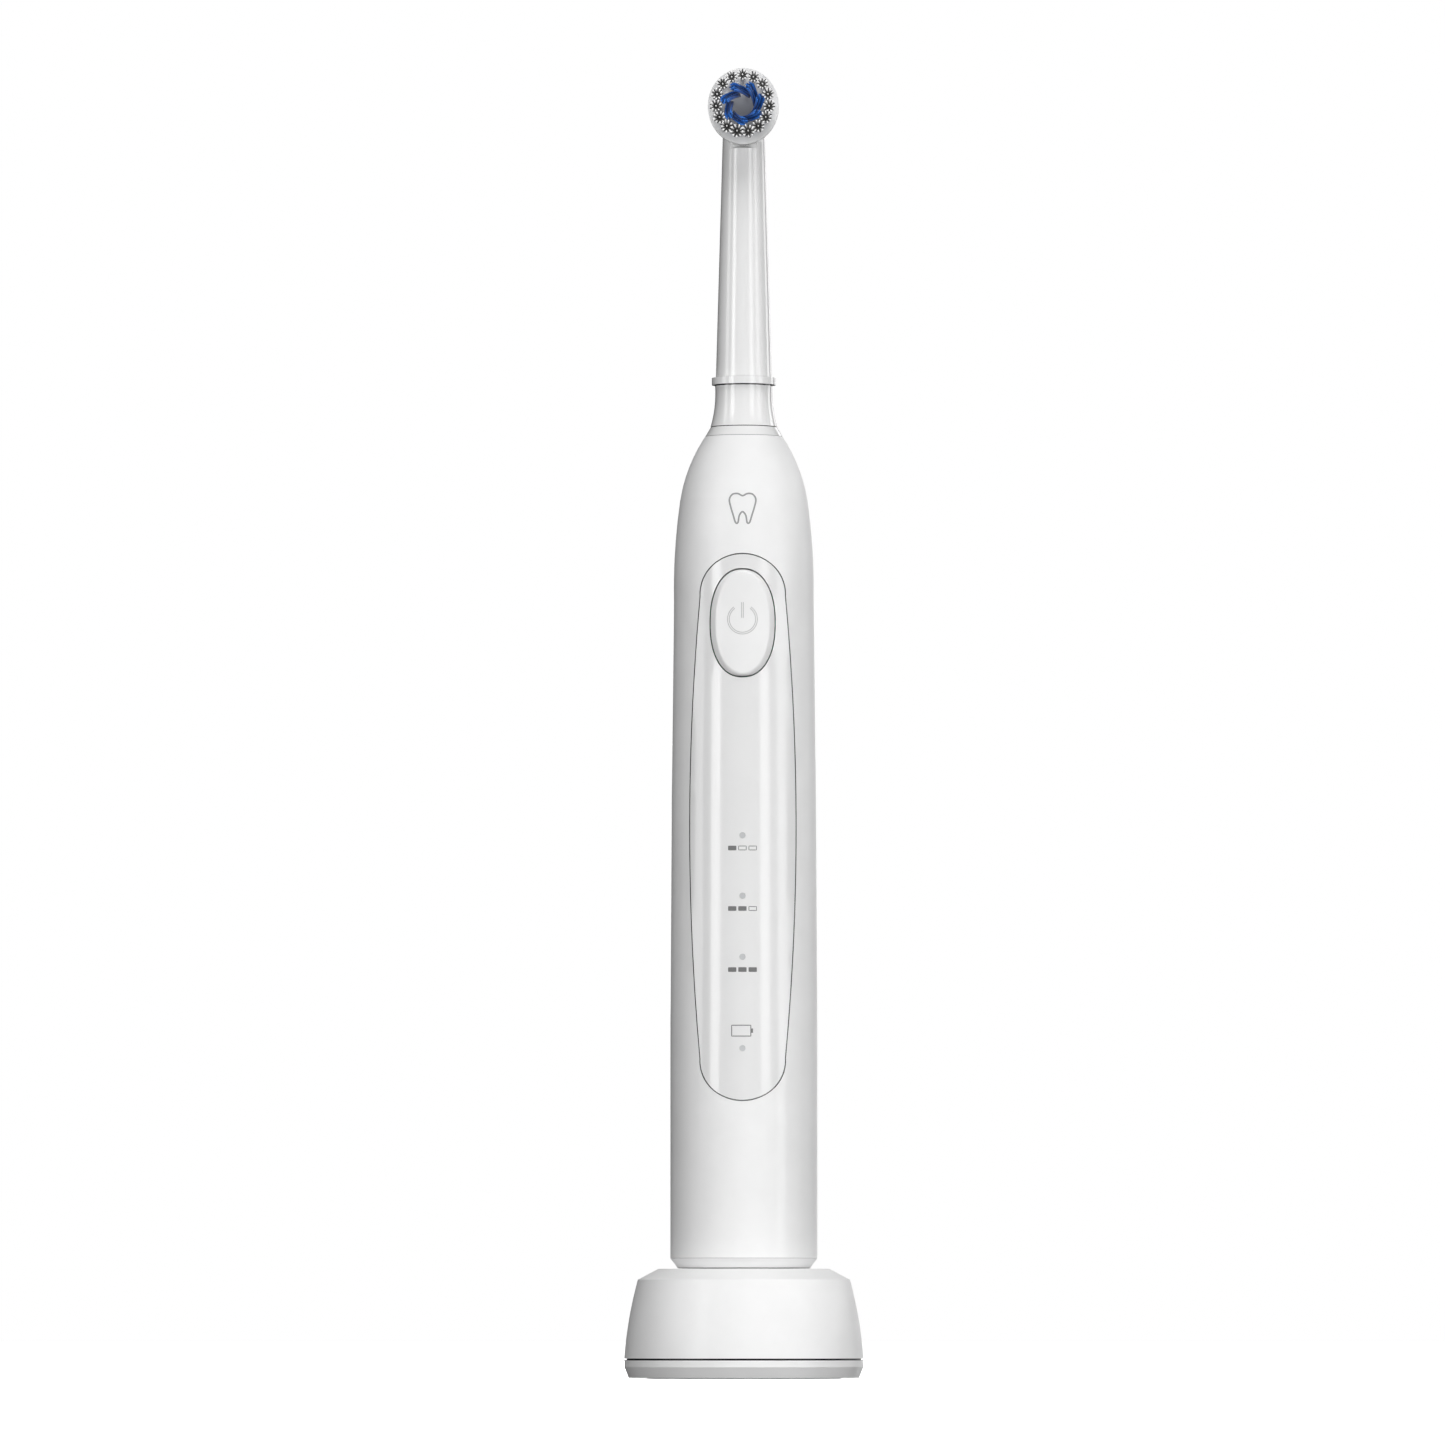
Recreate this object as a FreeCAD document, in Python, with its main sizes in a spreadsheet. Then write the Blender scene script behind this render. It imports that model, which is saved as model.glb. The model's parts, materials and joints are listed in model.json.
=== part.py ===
"""Electric toothbrush standing on its charger, as a parametric document of separate pieces.

Millimetres, +Z up, front towards -Y, origin at the centre of the underside of the charger's foot.
"""
import FreeCAD, Part
import math
import os
import re
import Sketcher

# Driving dimensions. Heights are measured up from the surface that the charger stands on.
SIZES = {
    # charger stand
    "foot_thickness": 0.9,
    "foot_proud": 0.1,
    "foot_radius": 18.0,
    "foot_hole_radius": 10.0,
    "charger_radius": 22.2,
    "charger_wall": 1.8,
    "base_bevel_radius": 21.4,
    "base_bevel_top": 2.1,
    "base_top": 3.4,
    "seam_gap": 0.3,
    "seam_depth": 0.45,
    "spigot_gap": 0.5,
    "spigot_rise": 2.2,
    "housing_bulge": 76.0,
    "shoulder_radius": 19.7,
    "shoulder_height": 18.3,
    "charger_top_radius": 15.9,
    "charger_height": 20.3,
    "screw_circle": 14.0,
    "screw_radius": 0.85,
    "screw_head_radius": 2.1,
    "screw_head_height": 1.0,
    "boss_radius": 2.6,
    "post_half_width": 4.5,
    "post_half_depth": 3.7,
    "post_corner": 2.9,
    "post_rise": 13.0,
    "post_wall": 0.9,
    "inlet_height": 9.5,
    "inlet_bore": 2.2,
    "inlet_radius": 3.5,
    "inlet_flange": 4.4,
    "inlet_face": 22.1,
    "charger_board_height": 6.0,
    "charger_board_thickness": 1.2,
    "charger_board_radius": 16.5,
    "ferrite_radius": 1.6,
    "charger_coil_radius": 2.6,
    # handle outside
    "rest_gap": 0.12,
    "handle_foot_radius": 12.25,
    "handle_radius": 13.65,
    "bevel_top": 22.3,
    "straight_top": 66.0,
    "waist_radius": 13.0,
    "waist_height": 144.6,
    "taper_radius": 13.42,
    "taper_height": 108.0,
    "shoulder_start_radius": 11.85,
    "shoulder_start_height": 163.2,
    "upper_curve": 115.0,
    "handle_neck_radius": 7.25,
    "handle_top": 175.1,
    "neck_curve": 30.0,
    "shell_wall": 1.7,
    "shell_bore": 11.95,
    "nose_bore": 5.3,
    # control panel and button on the front
    "panel_depth": 0.95,
    "panel_gap": 0.17,
    "panel_middle": 102.0,
    "panel_half_height": 50.8,
    "panel_corner_half_width": 8.0,
    "panel_corner_drop": 8.0,
    "panel_end_half_width": 4.6,
    "panel_end_drop": 1.4,
    "panel_side_curve": 470.0,
    "panel_corner_curve": 7.2,
    "panel_end_curve": 8.4,
    "button_height": 139.8,
    "button_half_width": 5.95,
    "button_half_height": 9.95,
    "button_squareness": 2.25,
    "button_proud": 0.45,
    "button_bevel": 0.35,
    "button_thickness": 1.6,
    "button_gap": 0.19,
    "button_travel": 0.5,
    "gasket_width": 0.7,
    "led_radius": 0.56,
    "led_low": 61.0,
    "led_second": 77.9,
    "led_third": 89.2,
    "led_high": 100.4,
    # inside the handle
    "cap_floor": 22.0,
    "seal_groove_bottom": 24.2,
    "seal_groove_top": 25.6,
    "seal_groove_depth": 1.2,
    "seal_section_radius": 0.58,
    "plug_top": 27.5,
    "socket_clearance": 0.3,
    "socket_wall": 1.0,
    "receiver_bore": 6.1,
    "receiver_core": 6.5,
    "receiver_radius": 8.2,
    "receiver_length": 11.0,
    "battery_radius": 7.0,
    "battery_length": 49.0,
    "battery_bottom": 39.0,
    "battery_back": 2.2,
    "chassis_radius": 11.4,
    "chassis_bottom": 36.6,
    "chassis_top": 114.4,
    "board_front": 9.0,
    "board_thickness": 1.0,
    "board_half_width": 6.4,
    "board_bottom": 50.0,
    "board_top": 146.0,
    "board_screw_across": 4.4,
    "board_screw_low": 53.0,
    "board_screw_high": 107.0,
    "solder_gap": 0.02,
    "controller_height": 123.5,
    "controller_half_size": 2.5,
    "motor_offset": 2.4,
    "motor_radius": 7.5,
    "motor_bottom": 92.5,
    "motor_length": 22.0,
    "motor_wall": 0.6,
    "motor_shaft_radius": 0.75,
    "motor_shaft_length": 28.4,
    "magnet_bore": 4.9,
    "magnet_length": 14.0,
    "armature_radius": 4.5,
    "armature_length": 12.0,
    # gear train and drive shaft
    "gear_module": 0.35,
    "tooth_thinning": 0.86,
    "gear_axle_radius": 0.8,
    "pinion_teeth": 12,
    "crank_teeth": 28,
    "crank_offset": 4.6,
    "crank_throw": 1.57,
    "crank_gear_bottom": 117.2,
    "crank_gear_thickness": 3.2,
    "crank_pin_radius": 0.5,
    "crank_pin_top": 122.35,
    "frame_bottom": 114.6,
    "frame_plate": 1.5,
    "frame_radius": 11.3,
    "frame_top": 127.6,
    "frame_bearing_height": 4.0,
    "rocker_bottom": 122.5,
    "rocker_thickness": 2.0,
    "drive_radius": 1.7,
    "drive_top": 196.0,
    "drive_flat": 1.0,
    "flat_bottom": 184.5,
    "running_clearance": 0.05,
    "bushing_radius": 2.9,
    "slot_clearance": 0.1,
    # neck collar and brush head
    "collar_top_radius": 6.2,
    "collar_top": 176.85,
    "collar_spigot_radius": 5.2,
    "collar_nose_radius": 4.2,
    "collar_nose_top": 183.0,
    "collar_bottom": 166.0,
    "joint_line": 0.07,
    "joint_depth": 0.45,
    "skirt_bottom": 177.0,
    "skirt_curve": 22.0,
    "skirt_top_radius": 5.35,
    "skirt_top": 184.8,
    "ring_undercut": 0.22,
    "ring_undercut_depth": 0.5,
    "ring_radius": 5.95,
    "tube_bottom": 186.1,
    "tube_radius": 5.2,
    "tube_neck_radius": 4.0,
    "tube_neck_height": 228.4,
    "spigot_radius": 3.9,
    "spigot_length": 5.5,
    "coupler_bore": 3.0,
    "coupler_length": 13.0,
    "coupler_grip": 11.3,
    "coupler_room_top": 199.0,
    "link_foot": 198.0,
    "link_radius": 1.2,
    "link_bore": 1.9,
    "bush_radius": 2.35,
    "bush_bottom": 221.5,
    "bush_length": 5.0,
    "tube_mouth": 2.6,
    "disc_height": 236.5,
    "disc_half_width": 6.6,
    "disc_half_height": 7.1,
    "disc_thickness": 1.8,
    "disc_back": 3.3,
    "cup_radius": 5.4,
    "cup_front": 3.1,
    "cup_back": 3.6,
    "hub_radius": 3.0,
    "hub_back": 0.9,
    "axle_radius": 0.7,
    "axle_front": 2.8,
    "link_throw": 1.8,
    "ball_radius": 0.75,
    "slot_half_width": 0.95,
    "bristle_length": 7.5,
    "outer_tuft_count": 15,
    "outer_tuft_base": 0.75,
    "outer_tuft_tip": 0.84,
    "outer_ring_half_width": 5.0,
    "outer_ring_half_height": 5.3,
    "inner_tuft_count": 7,
    "inner_base_ring": 2.5,
    "inner_tip_ring": 3.45,
    "inner_blade_width": 1.25,
    "inner_blade_thickness": 0.8,
    "inner_blade_lean": 56.0,
    "inner_blade_start": 62.0,
    "inner_blade_drop": 0.7,
}

LED_HEIGHTS = ("led_low", "led_second", "led_third", "led_high")

document = FreeCAD.newDocument("electric_toothbrush")
sheet = document.addObject("Spreadsheet::Sheet", "Sizes")
for row, (alias, value) in enumerate(SIZES.items(), start=1):
    sheet.set(f"A{row}", alias)
    sheet.set(f"B{row}", str(value))
    sheet.setAlias(f"B{row}", alias)
document.recompute()

Vector = FreeCAD.Vector
pieces = []


# ---------------------------------------------------------------- helpers

def bound(expression):
    """Rewrite bare size names as references to the sheet's cells."""
    names = r"[a-z_]+"
    return re.sub(names, lambda word: f"Sizes.{word.group()}" if word.group() in SIZES else word.group(),
                  str(expression))


def number(expression):
    """The value of an expression of size names."""
    return float(sheet.evalExpression(bound(expression)))


def new_body(label, is_piece=True):
    """An empty body; a piece's label names its file."""
    body = document.addObject("PartDesign::Body", label)
    body.Label = label
    if is_piece:
        pieces.append(body)
    return body


def new_sketch(body, name, plane="XZ_Plane", offset="0"):
    """A sketch on one of the body's own origin planes, moved along the plane's normal by the offset."""
    sketch = body.newObject("Sketcher::SketchObject", name)
    support = [feature for feature in body.Origin.OriginFeatures if feature.Role == plane][0]
    sketch.AttachmentSupport = [(support, "")]
    sketch.MapMode = "FlatFace"
    sketch.setExpression("AttachmentOffset.Base.z", bound(offset))
    return sketch


def bind_point(sketch, geometry, end, x, y):
    """Hold one point of a sketch at coordinates given as expressions."""
    for kind, axis, expression in (("DistanceX", -2, x), ("DistanceY", -1, y)):
        value = number(expression)
        if abs(value) < 1e-9:
            sketch.addConstraint(Sketcher.Constraint("PointOnObject", geometry, end, axis))
            continue
        index = sketch.addConstraint(Sketcher.Constraint(kind, -1, 1, geometry, end, value))
        sketch.setExpression(f"Constraints[{index}]", bound(expression))


def bind_radius(sketch, geometry, expression):
    index = sketch.addConstraint(Sketcher.Constraint("Radius", geometry, number(expression)))
    sketch.setExpression(f"Constraints[{index}]", bound(expression))


def draw_outline(sketch, corners):
    """A closed outline, counter-clockwise.

    Each corner is (x, y), or (x, y, bend, radius) where the edge that leaves it is an arc that bends
    "out" of the outline or "in" to it.
    """
    places = [Vector(number(corner[0]), number(corner[1]), 0) for corner in corners]
    edges = []
    for index, corner in enumerate(corners):
        start = places[index]
        end = places[(index + 1) % len(places)]
        outwards = True
        if len(corner) == 2:
            geometry = sketch.addGeometry(Part.LineSegment(start, end), False)
        else:
            outwards = corner[2] == "out"
            radius = number(corner[3])
            chord = end - start
            sagitta = radius - math.sqrt(max(radius ** 2 - (chord.Length / 2) ** 2, 0))
            side = Vector(chord.y, -chord.x, 0).normalize() * (sagitta if outwards else -sagitta)
            geometry = sketch.addGeometry(Part.Arc(start, (start + end) / 2 + side, end), False)
        edges.append((geometry, 1 if outwards else 2, 2 if outwards else 1))
    for index, corner in enumerate(corners):
        geometry, start_end, _ = edges[index]
        before, _, before_end = edges[index - 1]
        sketch.addConstraint(Sketcher.Constraint("Coincident", before, before_end, geometry, start_end))
        bind_point(sketch, geometry, start_end, corner[0], corner[1])
        if len(corner) == 4:
            bind_radius(sketch, geometry, corner[3])


def draw_circle(sketch, x, y, radius):
    circle = Part.Circle(Vector(number(x), number(y), 0), Vector(0, 0, 1), number(radius))
    geometry = sketch.addGeometry(circle, False)
    bind_point(sketch, geometry, 3, x, y)
    bind_radius(sketch, geometry, radius)


def draw_box(sketch, left, bottom, right, top):
    draw_outline(sketch, [(left, bottom), (right, bottom), (right, top), (left, top)])


def draw_rounded_box(sketch, half_x, half_y, corner):
    """A rectangle about the origin with round corners."""
    wide = f"({half_x})"
    deep = f"({half_y})"
    inner_x = f"({half_x} - ({corner}))"
    inner_y = f"({half_y} - ({corner}))"
    draw_outline(sketch, [
        (f"-{inner_x}", f"-{deep}"),
        (inner_x, f"-{deep}", "out", corner),
        (wide, f"-{inner_y}"),
        (wide, inner_y, "out", corner),
        (inner_x, deep),
        (f"-{inner_x}", deep, "out", corner),
        (f"-{wide}", inner_y),
        (f"-{wide}", f"-{inner_y}", "out", corner),
    ])


def extrude(kind, body, sketch, length):
    feature = body.newObject(f"PartDesign::{kind}", f"{sketch.Name}_{kind.lower()}")
    feature.Profile = sketch
    feature.setExpression("Length", bound(length))
    body.Tip = feature
    return feature


def pad(body, sketch, length):
    """Add the sketch's area, along its normal: +Z from XY_Plane, -Y from XZ_Plane."""
    return extrude("Pad", body, sketch, length)


def pocket(body, sketch, length, along_normal=False):
    """Remove the sketch's area, against its normal unless told otherwise; it has to cut something."""
    document.recompute()
    before = body.Shape.Volume
    feature = extrude("Pocket", body, sketch, length)
    feature.Reversed = along_normal
    document.recompute()
    if body.Shape.Volume > before - 1e-4:
        raise RuntimeError(f"{feature.Name} cuts nothing")
    return feature


def turn(body, sketch, kind="Revolution"):
    """Revolve the sketch about its upright axis, adding (Revolution) or cutting (Groove)."""
    feature = body.newObject(f"PartDesign::{kind}", f"{sketch.Name}_{kind.lower()}")
    feature.Profile = sketch
    feature.ReferenceAxis = (sketch, ["V_Axis"])
    feature.Angle = 360
    body.Tip = feature
    return feature


def repeat_round(body, feature, count):
    """Repeat one feature about the axis through the origin of its own sketch."""
    pattern = body.newObject("PartDesign::PolarPattern", f"{feature.Name}_pattern")
    pattern.Originals = [feature]
    pattern.Axis = (feature.Profile[0], ["N_Axis"])
    pattern.Angle = 360
    pattern.Occurrences = count
    body.Tip = pattern
    return pattern


def place(piece, x="0", y="0", z="0"):
    for axis, expression in (("x", x), ("y", y), ("z", z)):
        piece.setExpression(f"Placement.Base.{axis}", bound(expression))


def turned(label, corners, x="0", y="0", z="0", is_piece=True):
    """A piece turned about its own upright axis, which stands at x, y; z is its foot."""
    body = new_body(label, is_piece)
    sketch = new_sketch(body, f"{label}_profile")
    draw_outline(sketch, corners)
    turn(body, sketch)
    place(body, x, y, z)
    return body


def tube(label, inner, outer, length, x="0", y="0", z="0"):
    """A plain round tube or, with no inner radius, a rod."""
    return turned(label, [(inner, "0"), (outer, "0"), (outer, length), (inner, length)], x, y, z)


def spool(label, bore, core, flange, length, lip, z):
    """A coil former: a thin tube with a flange at each end."""
    return turned(label, [
        (bore, "0"), (flange, "0"), (flange, lip), (core, lip),
        (core, f"{length} - {lip}"), (flange, f"{length} - {lip}"), (flange, length), (bore, length),
    ], z=z)


def plain_solid(label, shape, x="0", y="0", z="0"):
    """A piece whose shape is worked out in code from the sheet's sizes."""
    feature = document.addObject("Part::Feature", label)
    feature.Label = label
    feature.Shape = shape
    place(feature, x, y, z)
    pieces.append(feature)
    return feature


def combine(kind, label, base, tool, is_piece=False):
    """A Part boolean of two objects: Cut, Fuse or Common."""
    result = document.addObject(f"Part::{kind}", label)
    result.Label = label
    result.Base = base
    result.Tool = tool
    if is_piece:
        pieces.append(result)
    return result


# ---------------------------------------------------------------- charger stand

def make_foot_pad():
    tube("foot_pad", "foot_hole_radius", "foot_radius", "foot_thickness")


def make_charger_base():
    """Bottom plate: bevelled rim, a recess for the foot pad, a spigot up into the housing."""
    body = turned("charger_base", [
        ("0", "foot_proud"),
        ("foot_hole_radius - 0.1", "foot_proud"),
        ("foot_hole_radius - 0.1", "foot_thickness"),
        ("foot_radius + 0.1", "foot_thickness"),
        ("foot_radius + 0.1", "foot_proud"),
        ("base_bevel_radius", "foot_proud"),
        ("charger_radius", "base_bevel_top"),
        ("charger_radius", "base_top"),
        ("charger_radius - seam_depth", "base_top"),
        ("charger_radius - seam_depth", "base_top + seam_gap"),
        ("charger_radius - charger_wall - spigot_gap", "base_top + seam_gap"),
        ("charger_radius - charger_wall - spigot_gap", "base_top + spigot_rise"),
        ("charger_radius - 2 * charger_wall", "base_top + spigot_rise"),
        ("charger_radius - 2 * charger_wall", "base_top"),
        ("0", "base_top"),
    ])
    shank_holes = new_sketch(body, "base_screw_hole", "XY_Plane", "base_top")
    draw_circle(shank_holes, "screw_circle", "0", "screw_radius + 0.15")
    repeat_round(body, pocket(body, shank_holes, "base_top"), 3)
    head_room = "screw_head_height + 0.1"
    head_holes = new_sketch(body, "base_screw_head_hole", "XY_Plane", f"foot_thickness + {head_room}")
    draw_circle(head_holes, "screw_circle", "0", "screw_head_radius + 0.15")
    repeat_round(body, pocket(body, head_holes, head_room), 3)


def make_charger_housing():
    """Tapering shell, closed on top, in one moulding with the hollow charging post."""
    shell_foot = "base_top + seam_gap"
    body = turned("charger_housing", [
        ("charger_radius - charger_wall", shell_foot),
        ("charger_radius", shell_foot, "out", "housing_bulge"),
        ("shoulder_radius", "shoulder_height"),
        ("charger_top_radius", "charger_height"),
        ("0", "charger_height"),
        ("0", "charger_height - charger_wall"),
        ("charger_top_radius - 0.6", "charger_height - charger_wall"),
        ("shoulder_radius - charger_wall", "shoulder_height - 1.1", "in", "housing_bulge"),
    ])
    post = new_sketch(body, "post_outline", "XY_Plane", "charger_height - charger_wall")
    draw_rounded_box(post, "post_half_width", "post_half_depth", "post_corner")
    pad(body, post, "charger_wall + post_rise")
    hollow = new_sketch(body, "post_hollow", "XY_Plane", "charger_height + post_rise - post_wall")
    draw_rounded_box(hollow, "post_half_width - post_wall", "post_half_depth - post_wall",
                     "post_corner - post_wall")
    pocket(body, hollow, "charger_wall + post_rise")
    boss = new_sketch(body, "screw_boss", "XY_Plane", "base_top + 0.05")
    draw_circle(boss, "screw_circle", "0", "boss_radius")
    draw_circle(boss, "screw_circle", "0", "screw_radius + 0.05")
    repeat_round(body, pad(body, boss, "charger_height - charger_wall - base_top"), 3)
    hole = new_sketch(body, "inlet_hole", "XZ_Plane", "-charger_radius - 1")
    draw_circle(hole, "0", "inlet_height", "inlet_radius + 0.1")
    pocket(body, hole, "4.5", along_normal=True)
    seat = new_sketch(body, "inlet_seat", "XZ_Plane", "-charger_radius - 1")
    draw_circle(seat, "0", "inlet_height", "inlet_flange + 0.15")
    pocket(body, seat, "charger_radius + 1 - inlet_face + 1.2", along_normal=True)


def make_cord_inlet():
    """Grommet in the housing's back wall, turned about the cord's own line."""
    body = new_body("cord_inlet")
    sketch = new_sketch(body, "inlet_profile")
    draw_outline(sketch, [
        ("inlet_bore", "0"), ("inlet_flange", "0"), ("inlet_flange", "1.2"), ("inlet_radius", "1.2"),
        ("inlet_radius", "4.8"), ("inlet_bore", "4.8"),
    ])
    turn(body, sketch)
    body.Placement = FreeCAD.Placement(Vector(), FreeCAD.Rotation(Vector(1, 0, 0), 90))
    place(body, "0", "inlet_face", "inlet_height")


def make_charger_screws():
    """Three screws through the bottom plate into the housing's bosses, heads hidden by the foot pad."""
    body = new_body("charger_screws")
    head = new_sketch(body, "charger_screw_head", "XY_Plane")
    draw_circle(head, "screw_circle", "0", "screw_head_radius")
    head_pad = pad(body, head, "screw_head_height")
    repeat_round(body, head_pad, 3)
    shank = new_sketch(body, "charger_screw_shank", "XY_Plane")
    draw_circle(shank, "screw_circle", "0", "screw_radius")
    repeat_round(body, pad(body, shank, "9"), 3)
    place(body, z="foot_thickness + 0.05")


def make_charger_board():
    body = new_body("charger_board")
    disc = new_sketch(body, "charger_board_outline", "XY_Plane")
    draw_circle(disc, "0", "0", "charger_board_radius")
    pad(body, disc, "charger_board_thickness")
    notch = new_sketch(body, "charger_board_notch", "XY_Plane", "charger_board_thickness")
    draw_circle(notch, "screw_circle", "0", "boss_radius + 0.4")
    repeat_round(body, pocket(body, notch, "charger_board_thickness"), 3)
    place(body, z="charger_board_height + 0.3")


def make_charger_electronics():
    board_top = "charger_board_height + 0.3 + charger_board_thickness"
    tube("charger_capacitor", "0", "3.1", "8.5", x="3.5", y="9.5", z=board_top)
    transistor = new_body("charger_transistor")
    outline = new_sketch(transistor, "transistor_outline", "XY_Plane")
    draw_box(outline, "-2.6", "-1.1", "2.6", "1.1")
    pad(transistor, outline, "7")
    place(transistor, "1", "-10.5", board_top)
    winding = "charger_height + post_rise - post_wall - 0.3"
    length = f"{winding} - ({board_top})"
    tube("charger_ferrite", "0", "ferrite_radius - 0.05", length, z=board_top)
    spool("charger_bobbin", "ferrite_radius", "ferrite_radius + 0.35", "charger_coil_radius", length, "0.7",
          z=board_top)
    tube("charger_coil", "ferrite_radius + 0.36", "charger_coil_radius - 0.1", f"{length} - 1.5",
         z=f"{board_top} + 0.75")


# ---------------------------------------------------------------- handle mouldings

def handle_side(inset):
    """The handle's outer side from the bevel to the nose, moved in by an inset."""
    return [
        (f"handle_radius - {inset}", "bevel_top"),
        (f"handle_radius - {inset}", "straight_top"),
        (f"taper_radius - {inset}", "taper_height"),
        (f"waist_radius - {inset}", "waist_height", "out", "upper_curve"),
        (f"shoulder_start_radius - {inset}", "shoulder_start_height", "out", "neck_curve"),
    ]


def panel_wall(label, proud, depth):
    """A thin wall that follows the handle's outside, for cutting the panel and button out of."""
    proud = f"({proud})"
    depth = f"({depth})"
    low = "panel_middle - panel_half_height - 2"
    top = "shoulder_start_height"
    return turned(label, [
        (f"handle_radius - {depth}", low),
        (f"handle_radius + {proud}", low),
        (f"handle_radius + {proud}", "straight_top"),
        (f"taper_radius + {proud}", "taper_height"),
        (f"waist_radius + {proud}", "waist_height", "out", "upper_curve"),
        (f"shoulder_start_radius + {proud}", top),
        (f"shoulder_start_radius - {depth}", top, "in", "upper_curve"),
        (f"waist_radius - {depth}", "waist_height"),
        (f"taper_radius - {depth}", "taper_height"),
        (f"handle_radius - {depth}", "straight_top"),
    ], is_piece=False)


def panel_block(label, grow):
    """The panel's outline as a deep block in front of the axis, grown all round."""
    side = f"panel_corner_half_width + {grow}"
    corner = "panel_half_height - panel_corner_drop"
    end_x = f"panel_end_half_width + {grow} * 0.5"
    end_y = f"panel_half_height - panel_end_drop + {grow}"
    block = new_body(label, is_piece=False)
    sketch = new_sketch(block, f"{label}_outline")
    draw_outline(sketch, [
        (side, f"panel_middle - ({corner})", "out", "panel_side_curve"),
        (side, f"panel_middle + {corner}", "out", "panel_corner_curve"),
        (end_x, f"panel_middle + {end_y}", "out", "panel_end_curve"),
        (f"-({end_x})", f"panel_middle + {end_y}", "out", "panel_corner_curve"),
        (f"-({side})", f"panel_middle + {corner}", "out", "panel_side_curve"),
        (f"-({side})", f"panel_middle - ({corner})", "out", "panel_corner_curve"),
        (f"-({end_x})", f"panel_middle - ({end_y})", "out", "panel_end_curve"),
        (end_x, f"panel_middle - ({end_y})", "out", "panel_corner_curve"),
    ])
    pad(block, sketch, "handle_radius + 3")
    return block


def button_block(label, grow):
    """The button's rounded oval as a deep block; the oval is |x/a|^n + |z/b|^n = 1."""
    across = number(f"button_half_width + {grow}")
    along = number(f"button_half_height + {grow}")
    power = 2 / number("button_squareness")
    points = []
    for step in range(32):
        angle = 2 * math.pi * step / 32
        x = across * math.copysign(abs(math.cos(angle)) ** power, math.cos(angle))
        z = along * math.copysign(abs(math.sin(angle)) ** power, math.sin(angle))
        points.append(Vector(x, 0, z))
    curve = Part.BSplineCurve()
    curve.interpolate(points, PeriodicFlag=True)
    face = Part.Face(Part.Wire(curve.toShape()))
    block = document.addObject("Part::Feature", label)
    block.Shape = face.extrude(Vector(0, -number("handle_radius + 3"), 0))
    place(block, z="button_height")
    return block


def led_bars(label, radius):
    """Four round bars through the front wall, one for each light."""
    body = new_body(label, is_piece=False)
    sketch = new_sketch(body, f"{label}_outline", "XZ_Plane", "shell_bore - 1.4")
    for height in LED_HEIGHTS:
        draw_circle(sketch, "0", height, radius)
    pad(body, sketch, "5")
    return body


def make_handle_front():
    """Shell, glossy panel, button, its gasket and the light pipes, all cut to one another."""
    side = handle_side("0")
    shell = turned("shell_blank", [("shell_bore", "bevel_top")] + side + [
        ("handle_neck_radius", "handle_top"),
        ("nose_bore", "handle_top"),
        ("nose_bore", "handle_top - 3.4", "in", "neck_curve"),
        ("shoulder_start_radius - shell_wall", "shoulder_start_height - 0.6", "in", "upper_curve"),
        ("waist_radius - shell_wall", "waist_height"),
        ("shell_bore", "waist_height - 14"),
    ], is_piece=False)
    recess = combine("Common", "panel_recess", panel_wall("recess_wall", "1", "panel_depth"),
                     panel_block("recess_block", "0"))
    shell = combine("Cut", "shell_recessed", shell, recess)
    opening = button_block("shell_button_opening", "button_gap + gasket_width + 0.2")
    shell = combine("Cut", "shell_opened", shell, opening)
    combine("Cut", "handle_shell", shell, led_bars("shell_led_holes", "led_radius + 0.06"), is_piece=True)

    panel = combine("Common", "panel_blank", panel_wall("inlay_wall", "0", "panel_depth - 0.08"),
                    panel_block("inlay_block", "-panel_gap"))
    panel = combine("Cut", "panel_opened", panel, button_block("panel_button_opening", "button_gap"))
    combine("Cut", "control_panel", panel, led_bars("panel_led_holes", "led_radius + 0.02"), is_piece=True)

    combine("Common", "led_light_pipes", panel_wall("pipe_wall", "0.02", "panel_depth + 0.7"),
            led_bars("led_bars", "led_radius"), is_piece=True)

    gasket = combine("Cut", "gasket_blank", button_block("gasket_block", "button_gap + gasket_width"),
                     button_block("gasket_hole", "button_gap + 0.05"))
    combine("Common", "button_gasket", panel_wall("gasket_wall", "-panel_depth - 0.05", "shell_wall"), gasket,
            is_piece=True)


def make_power_button():
    """Raised oval key with a round pusher behind it."""
    blank = combine("Common", "button_blank", panel_wall("button_wall", "button_proud", "button_thickness"),
                    button_block("button_oval", "0"))
    document.recompute()
    crown = document.addObject("Part::Chamfer", "button_crown")
    crown.Base = blank
    bevel = number("button_bevel")
    crown.Edges = [(index, bevel, bevel) for index, edge in enumerate(blank.Shape.Edges, start=1)
                   if edge.BoundBox.ZLength > 0.1
                   and min(math.hypot(v.X, v.Y) for v in edge.Vertexes) > number("waist_radius - 0.5")]
    pusher = new_body("button_pusher", is_piece=False)
    sketch = new_sketch(pusher, "button_pusher_outline", "XZ_Plane", "board_front + 1.97")
    draw_circle(sketch, "0", "button_height", "1.2")
    pad(pusher, sketch, "1.4")
    combine("Fuse", "power_button", crown, pusher, is_piece=True)


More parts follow.
